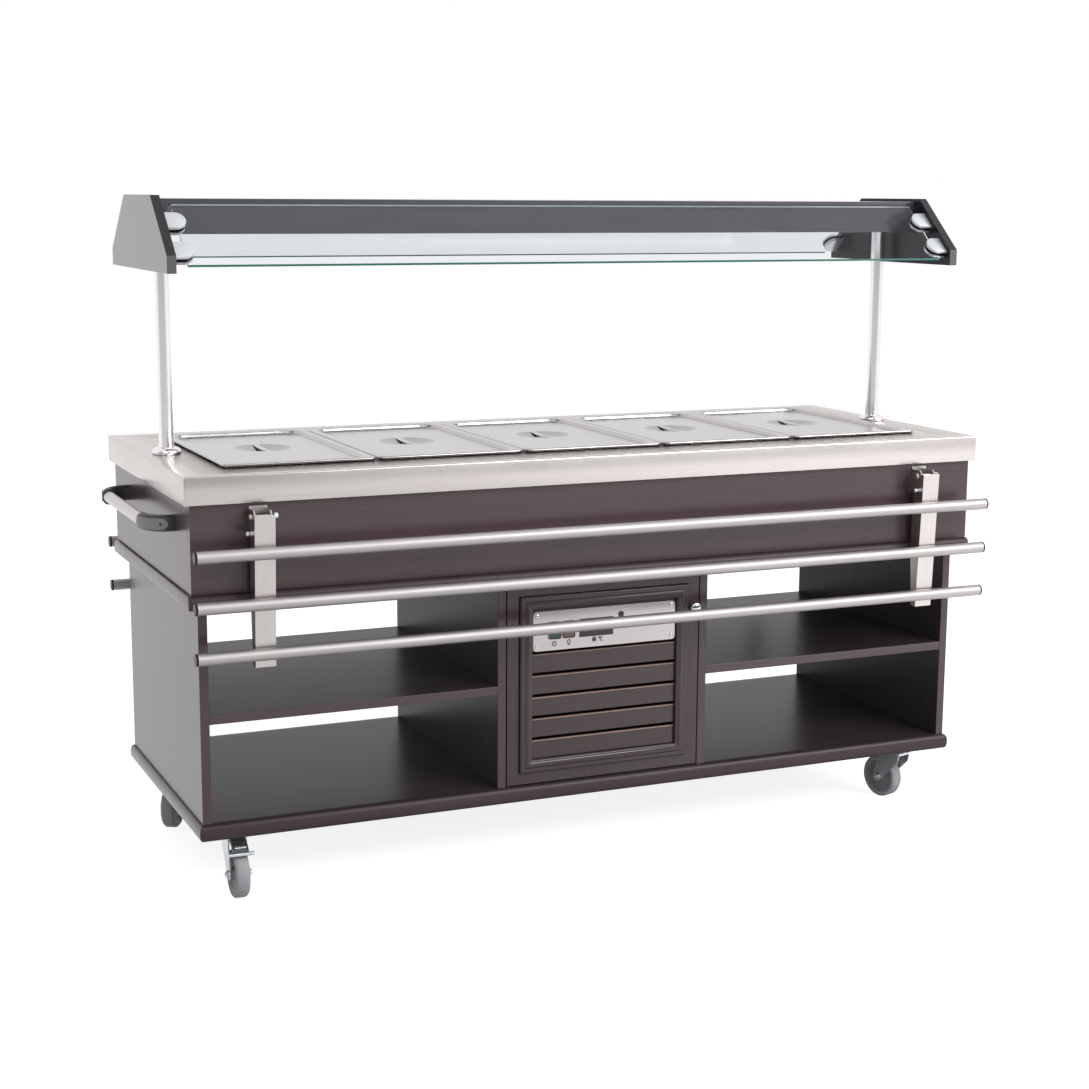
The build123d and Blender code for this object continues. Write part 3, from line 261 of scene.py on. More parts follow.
wenge_long = laminate("wenge_laminate_lengthways", "X", WENGE, OUTSIDE_GLOSS, shine=0.55)
wenge_upright = laminate("wenge_laminate_upright", "Z", WENGE, OUTSIDE_GLOSS, shine=0.5)
wenge_shaded_edge = laminate("wenge_edge_painted_shade", "X", WENGE_SHADED_EDGE, EDGE_GLOSS, shine=0.3)
wenge_sheen_end = laminate("wenge_laminate_ends_painted_sheen", "Z", WENGE_SHEEN_END, OUTSIDE_GLOSS, shine=0.6)
shaded_inside_long = laminate("wenge_inside_painted_shade_lengthways", "X", WENGE_SHADED_INSIDE, INSIDE_GLOSS, shine=0.12)
shaded_inside_upright = laminate("wenge_inside_painted_shade_upright", "Z", WENGE_SHADED_INSIDE, INSIDE_GLOSS, shine=0.12)

MERGE = 1e-6
SMOOTH_ANGLE = radians(35)
EASE_STEPS = 2
EASE_ANGLE = radians(40)
FRAME_SHIFT = 27.0
CORNER_STEPS = 10
SIDE_STEPS = 6


def at(x, y, z):
    """A point of the frame, in metres, from cabinet millimetres."""
    return (x + FRAME_SHIFT) * MM, y * MM, z * MM


def placed(name, mesh, body, slot, stands_for=()):
    """Puts a finished mesh into the scene, riding on its body and standing for CAD nodes."""
    made = bpy.data.objects.new(name, mesh)
    scene.collection.objects.link(made)
    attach(made, body)
    if stands_for:
        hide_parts(*stands_for)
    return made


def smooth_mesh(work, name, finish):
    """A mesh from a bmesh, shaded smooth except across corners, with its material."""
    mesh = bpy.data.meshes.new(name)
    work.to_mesh(mesh)
    work.free()
    for polygon in mesh.polygons:
        polygon.use_smooth = True
    mesh.set_sharp_from_angle(angle=SMOOTH_ANGLE)
    mesh.materials.append(finish)
    return mesh


def finished(work, name, finish):
    """A smooth mesh from a bmesh that was built here, with its faces turned outwards."""
    bmesh.ops.remove_doubles(work, verts=work.verts, dist=MERGE)
    bmesh.ops.recalc_face_normals(work, faces=work.faces)
    return smooth_mesh(work, name, finish)


def built(name, work, finish, body, slot, stands_for=()):
    """A piece from a bmesh that was built here."""
    return placed(name, finished(work, name.removesuffix("_piece"), finish), body, slot, stands_for)


def islands(work):
    """The separate shells of a mesh, as lists of vertices."""
    left = set(work.verts)
    while left:
        group = [left.pop()]
        for vert in group:
            found = {edge.other_vert(vert) for edge in vert.link_edges} & left
            left -= found
            group.extend(found)
        yield group


def span(verts, axis):
    """How far some vertices reach along an axis, in millimetres."""
    values = [vert.co[axis] for vert in verts]
    return (max(values) - min(values)) / MM


def eased(made, width_mm):
    """Rounds a piece's edges a little, and keeps its big faces flat in the light."""
    ease = made.modifiers.new("eased_edges", "BEVEL")
    ease.width = width_mm * MM
    ease.segments = EASE_STEPS
    ease.limit_method = "ANGLE"
    ease.angle_limit = EASE_ANGLE
    ease.use_clamp_overlap = True
    flat = made.modifiers.new("flat_faces", "WEIGHTED_NORMAL")
    flat.keep_sharp = True


def thickened(made, thickness_mm):
    """Gives a sheet its thickness, downwards from the modelled face."""
    wall = made.modifiers.new("sheet", "SOLIDIFY")
    wall.thickness = thickness_mm * MM
    wall.offset = -1.0


def painted(mesh, others):
    """Gives some faces other finishes. Each finish has a test, which gets a face and the face's middle in
    cabinet millimetres. A later finish covers an earlier one."""
    for place, (finish, takes) in enumerate(others, 1):
        mesh.materials.append(finish)
        for face in mesh.polygons:
            if takes(face, face.center / MM - Vector((FRAME_SHIFT, 0, 0))):
                face.material_index = place


def dressed(cad_node, body, slot, finish, ease, name=None, keep=None, others=()):
    """A CAD node's own form with its corners merged and its edges eased, standing for the node.
    keep chooses among the node's separate shells."""
    work = bmesh.new()
    work.from_mesh(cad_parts[cad_node].data)
    bmesh.ops.remove_doubles(work, verts=work.verts, dist=MERGE)
    if keep:
        unwanted = [vert for group in islands(work) if not keep(group) for vert in group]
        bmesh.ops.delete(work, geom=unwanted, context="VERTS")
    name = name or cad_node
    made = placed(f"{name}_piece", smooth_mesh(work, name, finish), body, slot, [cad_node])
    painted(made.data, others)
    eased(made, ease)


def arc(radius, start, end, steps, centre=(0, 0)):
    """Points of an arc between two angles in degrees."""
    turns = [radians(start + (end - start) * step / steps) for step in range(steps + 1)]
    return [(centre[0] + radius * cos(turn), centre[1] + radius * sin(turn)) for turn in turns]


def rounded_loop(half_x, half_y, radius):
    """Points of a rounded rectangle, counter-clockwise, evenly shared between corners and sides."""
    corners = []
    for quarter, (side_x, side_y) in enumerate(((1, 1), (-1, 1), (-1, -1), (1, -1))):
        centre = (side_x * (half_x - radius), side_y * (half_y - radius))
        corners.append(arc(radius, 90 * quarter, 90 * quarter + 90, CORNER_STEPS, centre))
    points = []
    for corner, after in zip(corners, corners[1:] + corners[:1]):
        points += corner
        x, y = corner[-1]
        for step in range(1, SIDE_STEPS):
            part = step / SIDE_STEPS
            points.append((x + (after[0][0] - x) * part, y + (after[0][1] - y) * part))
    return points


def skin(work, loops, close_first=False, close_last=True):
    """Joins loops of equally many 3-D points into a surface."""
    rows = [[work.verts.new(point) for point in loop] for loop in loops]
    for upper, lower in zip(rows, rows[1:]):
        for place in range(len(upper)):
            after = (place + 1) % len(upper)
            work.faces.new((upper[place], upper[after], lower[after], lower[place]))
    if close_first:
        work.faces.new(rows[0])
    if close_last:
        work.faces.new(list(reversed(rows[-1])))


def outlines(lines, middle=0.0):
    """Rounded rectangles about a middle, from rows of half length, half depth, corner radius and height."""
    return [[at(middle + x, y, z) for x, y in rounded_loop(half_x, half_y, corner)]
            for half_x, half_y, corner, z in lines]


FACING = 0.9
SIDEWAYS = 0.3
DECK_END = 905.0
END_START = 893.5


def is_top(face, middle):
    """Faces that are turned up."""
    return face.normal.z > FACING


def is_side(face, middle):
    """Faces that are turned left or right."""
    return abs(face.normal.x) > FACING


def is_inside(face, middle):
    """Faces of the end panels and partitions that are turned into the bays."""
    return is_side(face, middle) and abs(middle.x) < END_START


def is_end(face, middle):
    """Faces at the two ends of the counter that are turned outward."""
    return is_side(face, middle) and abs(middle.x) > END_START


def is_rounded_end(face, middle):
    """A board's rounded ends and its top, of which only the ends keep this finish."""
    return is_top(face, middle) or abs(face.normal.x) > max(abs(face.normal.y), SIDEWAYS)


def is_board_top(face, middle):
    """The top of a board without its ends."""
    return is_top(face, middle) and abs(middle.x) <= DECK_END


# Each row is half length, half depth, corner radius and height of one line round the board
DECK_LINES = [
    (905.0, 341.0, 2.0, 622.0), (917.6, 353.6, 3.0, 622.0), (919.3, 355.3, 4.0, 622.9),
    (920.0, 356.0, 5.0, 625.0), (920.0, 356.0, 5.0, 638.0), (919.9, 355.1, 5.0, 642.6),
    (919.6, 352.8, 4.0, 646.2), (919.0, 349.2, 3.0, 648.8), (917.4, 344.5, 2.0, 650.0),
    (905.0, 336.0, 2.0, 650.0),
]
# The base board's rounded edge strip hangs a few millimetres below the board
BASE_LINES = [
    (884.0, 312.0, 2.0, 142.0), (884.0, 312.0, 2.0, 137.2), (894.0, 322.0, 1.0, 137.2),
    (898.6, 326.6, 1.6, 139.0), (901.2, 329.2, 2.6, 142.4), (902.6, 330.6, 3.4, 147.0),
    (903.0, 331.0, 4.0, 152.0), (903.0, 331.0, 4.0, 157.5), (902.4, 330.4, 3.4, 162.6),
    (900.8, 328.8, 2.6, 167.0), (898.0, 326.0, 1.6, 170.2), (893.4, 321.4, 1.0, 172.0),
    (880.0, 308.0, 1.0, 172.0),
]
BOARD_EASE = 0.8
# Painted shade on the rounded long edges and the deck's top, a painted sheen on the ends, painted shade on
# the base's top
for board, lines, top in (("deck_board", DECK_LINES, wenge_shaded_edge), ("base_board", BASE_LINES, shaded_inside_long)):
    work = bmesh.new()
    skin(work, outlines(lines), close_first=True)
    made = built(f"{board}_piece", work, wenge_shaded_edge, "cabinet", "laminate", [board])
    painted(made.data, [(wenge_sheen_end, is_rounded_end), (top, is_board_top)])
dressed("apron_boards", "cabinet", "laminate", wenge_long, ease=0.25, others=[(wenge_sheen_end, is_end)])
# Faces inside the bays carry painted shade, and the outward end faces a painted sheen
dressed("end_panels", "cabinet", "laminate", wenge_upright, BOARD_EASE,
        others=[(shaded_inside_upright, is_inside), (wenge_sheen_end, is_end)])
dressed("partitions", "cabinet", "laminate", wenge_upright, BOARD_EASE, others=[(shaded_inside_upright, is_inside)])
dressed("machine_back_panel", "cabinet", "laminate", wenge_upright, BOARD_EASE)
dressed("shelves", "cabinet", "laminate", wenge_long, BOARD_EASE, others=[(shaded_inside_long, is_top)])

# Worktop: stainless sheet folded down at the edges, with welded and linished corners. It is brushed
# along the counter, so it looks warm grey with fine lines and a soft, long gloss. The well liner and
# the bars between the pans are of the same sheet.
BRUSH_WIDTH = 2.5
BRUSH_LENGTH = 260.0
SCRATCH_DEPTH = 0.05
SCRATCH_RELIEF = 0.02
CLOUD_SIZE = 120.0
STEEL_TONES = ("#bcb6b4", "#d4cdca")


def blend(tree, share, dark, light):
    """A colour between two hex colours."""
    inputs = {"Factor": share, "A": linear(dark), "B": linear(light)}
    return node(tree, "ShaderNodeMix", inputs, data_type="RGBA").outputs["Result"]


def brushed_steel(name, along, dark, light, gloss):
    """Brushed stainless steel. The lines are drawn wider than the real grit, so that they show."""
    material, tree, shader = new_material(name)
    lines = noise(tree, lengthways(along, BRUSH_LENGTH, BRUSH_WIDTH), Detail=4.0, Roughness=0.7)
    cloud = noise(tree, [CLOUD_SIZE] * 3, Detail=2.0)
    scratches = node(tree, "ShaderNodeBump", {"Height": lines, "Strength": SCRATCH_RELIEF,
                                              "Distance": SCRATCH_DEPTH * MM})
    wire(tree, shader, {"Base Color": blend(tree, lines, dark, light), "Metallic": 1.0,
                        "Roughness": between(tree, cloud, *gloss), "Normal": scratches.outputs[0]})
    return material


steel_long = brushed_steel("brushed_stainless_lengthways", "X", *STEEL_TONES, (0.22, 0.32))
steel_deep = brushed_steel("brushed_stainless_across", "Y", *STEEL_TONES, (0.2, 0.3))
WORKTOP_SHEET = 2.0
# Rows as for the boards
WORKTOP_LINES = [
    (913.6, 349.6, 1.0, 831.1), (923.2, 358.2, 1.4, 831.1), (924.5, 359.5, 2.0, 831.6),
    (925.0, 360.0, 2.4, 832.8), (925.0, 360.0, 2.4, 885.6), (924.7, 359.7, 2.4, 886.8),
    (923.8, 358.8, 2.0, 887.7), (922.6, 357.6, 1.6, 888.0), (813.0, 253.0, 3.0, 888.0),
]
work = bmesh.new()
skin(work, outlines(WORKTOP_LINES), close_last=False)
thickened(built("worktop_piece", work, steel_long, "cabinet", "stainless", ["worktop"]), WORKTOP_SHEET)
dressed("well_liner", "cabinet", "stainless", steel_long, ease=0.6)
dressed("pan_bars", "cabinet", "stainless", steel_deep, ease=0.5)

# Insulation: polyurethane foamed into the apron round the well. It is pale yellow with a closed skin,
# and keeps the plain form of the CAD node.
UNEVEN = 0.15


def plain_finish(name, dark, light, rough, cloud, metallic=0.0, further=()):
    """A finish with a faint cloudiness of a given size in millimetres. further sets more shader inputs."""
    material, tree, shader = new_material(name)
    clouds = noise(tree, [cloud] * 3, Detail=3.0)
    uneven = between(tree, clouds, rough * (1 - UNEVEN), rough * (1 + UNEVEN))
    wire(tree, shader, {"Base Color": blend(tree, clouds, dark, light), "Roughness": uneven,
                        "Metallic": metallic, **dict(further)})
    return material


foam = plain_finish("polyurethane_foam", "#c9b684", "#e3d3a4", 0.85, 6)
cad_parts["well_insulation"].data.materials.clear()
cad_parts["well_insulation"].data.materials.append(foam)

# Pans: deep-drawn stainless tubs with a flat rim, which hangs on the worktop and the bars between.
# They are bright annealed, smoother than the brushed top.
drawn_steel = plain_finish("bright_annealed_stainless", "#aeabaa", "#bfbcbb", 0.19, 35, 1.0)
PANS = 5
PAN_PITCH = 330.0
PAN_SHEET = 1.0
pan_middles = [(place - (PANS - 1) / 2) * PAN_PITCH for place in range(PANS)]
# Each row is half width, half length, corner radius and height of one line round the pan
PAN_LINES = [
    (160.5, 263.0, 14.0, 888.3), (160.5, 263.0, 14.0, 891.8), (159.6, 262.1, 13.2, 892.8),
    (158.4, 260.9, 12.0, 893.0), (149.5, 252.0, 36.0, 893.0), (147.6, 250.1, 36.0, 892.4),
    (146.8, 249.3, 36.0, 890.8), (137.2, 239.7, 30.0, 751.0), (135.4, 237.9, 29.0, 746.6),
    (131.0, 233.5, 26.0, 744.3), (124.0, 226.5, 22.0, 744.2),
]
for place, middle in enumerate(pan_middles, 1):
    pan = f"pan_{place}"
    work = bmesh.new()
    skin(work, outlines(PAN_LINES, middle))
    thickened(built(f"{pan}_piece", work, drawn_steel, pan, "stainless", [pan]), PAN_SHEET)

# Lids: pressed stainless sheet with a turned-down lip, a flat flange, a sunken panel with big corners
# and steep walls, and a round grip dish behind the middle with a folded strap welded across it. They
# are satin, and the dish is a little duller and painted darker, as painted shade in the hollow.
LID_SHEET = 1.2
# Rows as for the pan
LID_LINES = [
    (162.5, 265.0, 14.5, 893.1), (162.5, 265.0, 14.5, 893.6), (162.1, 264.6, 14.1, 894.6),
    (161.2, 263.7, 13.4, 895.4), (159.9, 262.4, 12.6, 895.9), (158.4, 260.9, 12.0, 896.0),
    (156.6, 259.1, 12.0, 895.4), (148.4, 250.9, 36.5, 895.4), (147.2, 249.7, 35.9, 895.1),
    (146.3, 248.8, 35.3, 894.4), (145.9, 248.4, 35.0, 893.6), (144.7, 247.2, 34.2, 890.2),
    (144.3, 246.8, 33.8, 889.4), (143.6, 246.1, 33.4, 888.8), (142.4, 244.9, 32.6, 888.5),
    (138.0, 240.5, 30.0, 888.4),
]
panel_half_x, panel_half_y, panel_corner, panel_z = LID_LINES[-1]
DISH_R = 61.0
DISH_LAND = 2.0
DISH_RIM = 0.3
DISH_DEPTH = 8.5
DISH_FLAT = 8.0
DISH_STEPS = 12
DISH_BACK = 22.0
STRAP_HALF_W = 6.5
STRAP_THICK = 2.0
STRAP_EASE = 0.7
# Each row is the place along the strap and its height
STRAP_LINES = [(-63.0, 887.4), (-60.0, 888.4), (-52.0, 888.6), (-20.0, 886.5), (20.0, 886.5), (52.0, 888.6),
               (60.0, 888.4), (63.0, 887.4)]
lid_steel = plain_finish("satin_stainless_lid", "#b6b3b2", "#c7c4c3", 0.26, 35, 1.0)
# The dish is the lid's steel painted darker, as painted shade in the hollow
shaded_dish_steel = plain_finish("satin_stainless_dish_painted_shade", "#a6a4a4", "#b6b4b4", 0.34, 35, 1.0)


def dish_loops(middle):
    """Circles down the grip dish, each point in line with a point of the panel's rounded rectangle."""
    angles = [atan2((y - DISH_BACK) / panel_half_y, x / panel_half_x)
              for x, y in rounded_loop(panel_half_x, panel_half_y, panel_corner)]
    radii = [DISH_R + (DISH_FLAT - DISH_R) * step / DISH_STEPS for step in range(DISH_STEPS + 1)]
    loops = []
    for radius in [DISH_R + DISH_LAND] + radii:
        z = panel_z - DISH_DEPTH * max(1 - (radius / DISH_R) ** 2, 0)
        circle = [(radius * cos(angle), radius * sin(angle)) for angle in angles]
        loops.append([at(middle + x, DISH_BACK + y, z) for x, y in circle])
    return loops


def in_dish(face, middle):
    """Faces inside the grip dish."""
    return middle.z < panel_z - DISH_RIM


for place, middle in enumerate(pan_middles, 1):
    lid = f"lid_{place}"
    work = bmesh.new()
    skin(work, outlines(LID_LINES, middle) + dish_loops(middle))
    made = built(f"{lid}_piece", work, lid_steel, lid, "stainless", [lid])
    painted(made.data, [(shaded_dish_steel, in_dish)])
    thickened(made, LID_SHEET)

    work = bmesh.new()
    sections = []
    for along, z in STRAP_LINES:
        corners = [(-STRAP_HALF_W, z - STRAP_THICK), (STRAP_HALF_W, z - STRAP_THICK), (STRAP_HALF_W, z),
                   (-STRAP_HALF_W, z)]
        sections.append([at(middle + x, DISH_BACK + along, height) for x, height in corners])
    skin(work, sections, close_first=True)
    eased(built(f"{lid}_strap", work, lid_steel, lid, "stainless"), STRAP_EASE)

# Posts: polished stainless tube, standing in spun collars that are screwed to the worktop. They mirror
# the white surround, so that they look almost white with a grey side.
ROUND_STEPS = 48
SMALL_STEPS = 24
SCREW_STEPS = 16
# Turns that point a turned piece's axis to the front and to the right
FORWARD = (90, 0, 0)
RIGHTWARD = (0, 90, 0)


def lathe(work, profile, place, steps=ROUND_STEPS):
    """Spins (radius, height) points in millimetres about a placement's Z axis."""
    loops = []
    for radius, height in profile:
        circle = arc(radius, 0, 360, steps)[:-1]
        loops.append([place @ (Vector((x, y, height)) * MM) for x, y in circle])
    skin(work, loops, close_last=False)


def stand(x, y, z, turn=(0, 0, 0)):
    """A placement from cabinet millimetres and turns in degrees."""
    spin = Euler([radians(part) for part in turn]).to_matrix().to_4x4()
    return Matrix.Translation(at(x, y, z)) @ spin


polished = plain_finish("polished_stainless_tube", "#e9e6e6", "#f3f1f1", 0.14, 12, 1.0)
POST_X = 874.0
POST_PROFILE = [(16.0, 888.5), (16.0, 1398.5), (14.0, 1398.5), (14.0, 888.5), (16.0, 888.5)]
COLLAR_PROFILE = [(16.2, 888.2), (29.0, 888.2), (30.4, 889.6), (31.0, 892.4), (30.4, 895.6), (28.4, 898.6),
                  (25.0, 900.9), (21.5, 902.2), (18.5, 902.9), (16.8, 902.6), (16.2, 901.8), (16.2, 888.2)]
work = bmesh.new()
for side in (-1, 1):
    for profile in (POST_PROFILE, COLLAR_PROFILE):
        lathe(work, profile, stand(side * POST_X, 0, 0))
built("posts_piece", work, polished, "cabinet", "stainless", ["posts"])

# Hood: six-sided cheeks and a lamp box of three boards between them, all of charcoal laminate, screwed
# to the tops of the posts. The cheeks are lit and shaded copies of one laminate: a painted sheen in a
# light tone outside, painted shade in a dark tone inside, a painted reflection in a mid tone on the
# upright front and back edges, and a painted dark reflection on the other edges. The edges are also
# duller.
# All tones but the lamp box's are copies of one laminate: painted shade inside, a painted sheen outside, a
# painted dark reflection on the edges and a painted reflection on the upright edges
CHARCOAL_SHADED_INSIDE = ("#25252b", "#29292f", "#2e2e35")
CHARCOAL_BEAM = ("#38383f", "#3e3e46", "#44444c")
CHARCOAL_SHEEN_OUTSIDE = ("#716f72", "#777578", "#7d7b7e")
CHARCOAL_DARK_REFLECTION_EDGE = ("#2e2d2f", "#323133", "#363537")
CHARCOAL_REFLECTION_FRONT = ("#4e4c4f", "#545255", "#5a585b")
HOOD_GLOSS = (0.12, 0.16)
HOOD_EDGE_GLOSS = (0.4, 0.5)
charcoal_long = laminate("charcoal_laminate_lengthways", "X", CHARCOAL_BEAM, HOOD_GLOSS, shine=1.0,
                         relief=0.0)
charcoal_sheen_outside = laminate("charcoal_laminate_painted_sheen_outside", "Y", CHARCOAL_SHEEN_OUTSIDE, HOOD_GLOSS, shine=1.0,
                            relief=0.0)
charcoal_shaded_inside = laminate("charcoal_laminate_painted_shade_inside", "Y", CHARCOAL_SHADED_INSIDE, HOOD_GLOSS, shine=0.15, relief=0.0)
charcoal_dark_reflection_edge = laminate("charcoal_edge_painted_dark_reflection", "Y", CHARCOAL_DARK_REFLECTION_EDGE, HOOD_EDGE_GLOSS, shine=0.2)
charcoal_reflection_front = laminate("charcoal_front_edge_painted_reflection", "Z", CHARCOAL_REFLECTION_FRONT, HOOD_EDGE_GLOSS, shine=0.5)


def is_outward(face, middle):
    """The cheeks' faces that are turned away from each other."""
    return is_side(face, middle) and face.normal.x * middle.x > 0


def is_inward(face, middle):
    """The cheeks' faces that are turned to each other."""
    return is_side(face, middle) and face.normal.x * middle.x <= 0


def is_upright_edge(face, middle):
    """The cheeks' upright edges at the front and the back."""
    return abs(face.normal.y) > FACING


# The cheeks' faces take painted sheen, painted shade and painted reflections by the way they face
dressed("hood_cheeks", "cabinet", "laminate", charcoal_dark_reflection_edge, BOARD_EASE, others=[
    (charcoal_sheen_outside, is_outward), (charcoal_shaded_inside, is_inward), (charcoal_reflection_front, is_upright_edge)])
dressed("hood_lamp_box", "cabinet", "laminate", charcoal_long, BOARD_EASE)

# Lamp: a white enamelled batten under the top board, with an opal tube between its holders. It hangs
# between the boards of the lamp box, out of the camera's sight.
enamel = plain_finish("white_enamel", "#e4e4e0", "#eeeeea", 0.35, 60)
dressed("hood_lamp", "cabinet", "lamp_white", enamel, ease=0.5)

# Glass: clear toughened panes with ground and polished edges, which show green where the light runs
# along the sheet. The upper edges carry a painted highlight in a pale tone. The index is set below that
# of real glass, because the white surround would veil the hood behind the panes.
GLASS_IOR = 1.16
PANE_FACE_AREA = 0.05
PANE_TOP = 1399.0
PANE_END_FACING = 0.5
pane_glass = plain_finish("clear_toughened_glass", "#eaedef", "#f0f2f4", 0.0, 300,
                          further={"IOR": GLASS_IOR, "Transmission Weight": 1.0})
green_edge = plain_finish("polished_glass_edge", "#2a7269", "#4a958b", 0.15, 25)
# A painted highlight on the panes' upper edges
highlight_edge = plain_finish("glass_edge_painted_highlight", "#b9c4cc", "#dbe4ea", 0.15, 25)


def is_pane_edge(face, middle):
    """The panes' long edges."""
    return face.area < PANE_FACE_AREA and abs(face.normal.x) < PANE_END_FACING


def is_upper_pane_edge(face, middle):
    """The panes' long upper edges."""
    return is_pane_edge(face, middle) and middle.z > PANE_TOP


dressed("hood_glass", "cabinet", "glass", pane_glass, ease=0.7,
        others=[(green_edge, is_pane_edge), (highlight_edge, is_upper_pane_edge)])

# Clamps: chromed D-shaped jaws on the cheeks, which grip the glass between black rubber pads. The jaws
# are satin plated, with a small round along the outer edge.
chrome = plain_finish("polished_chrome_plate", "#c3c7cc", "#d2d6db", 0.08, 30, 1.0)
satin_chrome = plain_finish("satin_chrome_plate", "#d2d5da", "#dfe1e5", 0.35, 30, 0.6)
rubber = plain_finish("black_rubber", "#141415", "#1f1f20", 0.7, 6)
HOOD_IN = 903.0
GLASS_UPPER = (-117.0, 1405.0)
SLOPE = (-132.5, -116.0)
down_y = SLOPE[0] / hypot(*SLOPE)
down_z = SLOPE[1] / hypot(*SLOPE)
CLAMP_PLACES = (55.0, 140.0)
CLAMP_R = 22.5
CLAMP_REACH = 43.0
CLAMP_EASE = 1.4
CLAMP_STEPS = 24
GLASS_HALF = 3.0
GASKET_T = 1.5
GASKET_INSET = 0.6
CLAMP_T = 6.5
jaw_in = GLASS_HALF + GASKET_T
jaw_out = jaw_in + CLAMP_T
# Each row is the height off the glass's middle plane and the inset of one line round a jaw or a pad
JAW_LEVELS = [(jaw_in, 0.0), (jaw_out - CLAMP_EASE, 0.0), (jaw_out - CLAMP_EASE / 3, CLAMP_EASE / 3),
              (jaw_out, CLAMP_EASE)]
PAD_LEVELS = [(GLASS_HALF, GASKET_INSET), (jaw_in, GASKET_INSET)]


def d_shape(inset):
    """Outline of a clamp jaw, flat along the cheek, drawn in by an inset."""
    radius = CLAMP_R - inset
    centre = CLAMP_REACH - CLAMP_R
    return [(inset, -radius)] + arc(radius, -90, 90, CLAMP_STEPS, (centre, 0)) + [(inset, radius)]


def jaws(work, side_x, side_y, down, levels):
    """The same layer of a clamp on both sides of the glass."""
    for side in (-1, 1):
        loops = []
        for height, inset in levels:
            loop = []
            for along, across in d_shape(inset):
                slide = down - across
                y = GLASS_UPPER[0] + down_y * slide + down_z * side * height
                z = GLASS_UPPER[1] + down_z * slide - down_y * side * height
                loop.append(at(side_x * (-HOOD_IN + along), side_y * y, z))
            loops.append(loop)
        skin(work, loops, close_first=True)


for name, levels, finish, slot in (("glass_clamps", JAW_LEVELS, satin_chrome, "chrome"),
                                   ("clamp_gaskets", PAD_LEVELS, rubber, "gasket")):
    work = bmesh.new()
    for side_x in (-1, 1):
        for side_y in (-1, 1):
            for down in CLAMP_PLACES:
                jaws(work, side_x, side_y, down, levels)
    built(f"{name}_piece", work, finish, "cabinet", slot, [name])

# Push handle: a satin steel tube between two moulded dark grey elbows, screwed to the left end. A light
# grey cover strip is clipped round the outside of each bend, with one screw through it.
satin = brushed_steel("satin_stainless_tube", "X", "#aaa5a5", "#b8b3b3", (0.5, 0.6))
satin_deep = brushed_steel("satin_stainless_bar", "Y", "#c9c4c4", "#dbd6d6", (0.38, 0.48))
dark_plastic = plain_finish("dark_grey_polyamide", "#343333", "#3f3e3e", 0.42, 4)
light_plastic = plain_finish("light_grey_polyamide", "#8d8a8a", "#9c9999", 0.4, 4)
HANDLE_Z = 777.0
HANDLE_R = 12.5
HANDLE_X = -964.4
HANDLE_FOOT_X = -913.2
HANDLE_FOOT_Y = 217.0
HANDLE_SOCKET_Y = 166.0
BAR_TUCK = 1.0
ELBOW_BEND = 46.0
ELBOW_HALF_W = 13.4
ELBOW_HALF_H = 17.0
ELBOW_ROUND = 12.4
SOCKET_EASE = 1.4
BEND_STEPS = 16
COVER_IN = 10.4
COVER_OUT = 14.5
COVER_EASE = 0.5
COVER_FLAT = 0.9
COVER_HALF_H = 11.5
COVER_START = 12.0
COVER_END = 80.0
COVER_STEPS = 28
COVER_ROUND = 12.0
COVER_TIP = 0.02
SCREW_DISTANCE = 24.0
# Each row is the radius and the height off the elbow's middle line
SCREW_HEAD = [(0, 13.5), (2.6, 13.5), (2.6, 14.55), (0, 14.55)]
straight = HANDLE_FOOT_X - (HANDLE_X + ELBOW_BEND)
bend_length = ELBOW_BEND * pi / 2
elbow_length = straight + bend_length + HANDLE_FOOT_Y - ELBOW_BEND - HANDLE_SOCKET_Y
elbow_stops = [0.0] + [straight + bend_length * step / BEND_STEPS for step in range(BEND_STEPS + 1)]


def elbow_point(distance):
    """The elbow's middle line: a place in X and Y, and the turn there, at a distance from its foot."""
    if distance < straight:
        return HANDLE_FOOT_X - distance, -HANDLE_FOOT_Y, 0.0
    if distance < straight + bend_length:
        turn = (distance - straight) / ELBOW_BEND
        return (HANDLE_X + ELBOW_BEND - ELBOW_BEND * sin(turn),
                -HANDLE_FOOT_Y + ELBOW_BEND - ELBOW_BEND * cos(turn), turn)
    return HANDLE_X, -HANDLE_FOOT_Y + ELBOW_BEND + distance - straight - bend_length, pi / 2


def elbow_section(distance, section, side):
    """A section of (outwards, upwards) points, set square on the elbow's middle line."""
    x, y, turn = elbow_point(distance)
    return [at(x - out * sin(turn), side * (y - out * cos(turn)), HANDLE_Z + up) for out, up in section]


full_section = rounded_loop(ELBOW_HALF_W, ELBOW_HALF_H, ELBOW_ROUND)
end_section = rounded_loop(ELBOW_HALF_W - SOCKET_EASE, ELBOW_HALF_H - SOCKET_EASE, ELBOW_ROUND - SOCKET_EASE)
elbow_work = bmesh.new()
cover_work = bmesh.new()
screw_work = bmesh.new()
for side in (1, -1):
    loops = [elbow_section(stop, full_section, side) for stop in elbow_stops + [elbow_length - SOCKET_EASE]]
    loops.append(elbow_section(elbow_length, end_section, side))
    skin(elbow_work, loops, close_first=True)
    loops = []
    for step in range(COVER_STEPS + 1):
        stop = COVER_START + (COVER_END - COVER_START) * step / COVER_STEPS
        to_end = min(stop - COVER_START, COVER_END - stop, COVER_ROUND)
        half = COVER_HALF_H * sqrt(max(1 - (1 - to_end / COVER_ROUND) ** 2, COVER_TIP))
        upper = [(COVER_IN, half), (COVER_OUT - COVER_EASE, half), (COVER_OUT, half * COVER_FLAT)]
        loops.append(elbow_section(stop, upper + [(out, -up) for out, up in reversed(upper)], side))
    skin(cover_work, loops, close_first=True)
    x, y, turn = elbow_point(SCREW_DISTANCE)
    aim = (90 * side, 0, -side * degrees(turn))
    lathe(screw_work, SCREW_HEAD, stand(x, side * y, HANDLE_Z, aim), SCREW_STEPS)
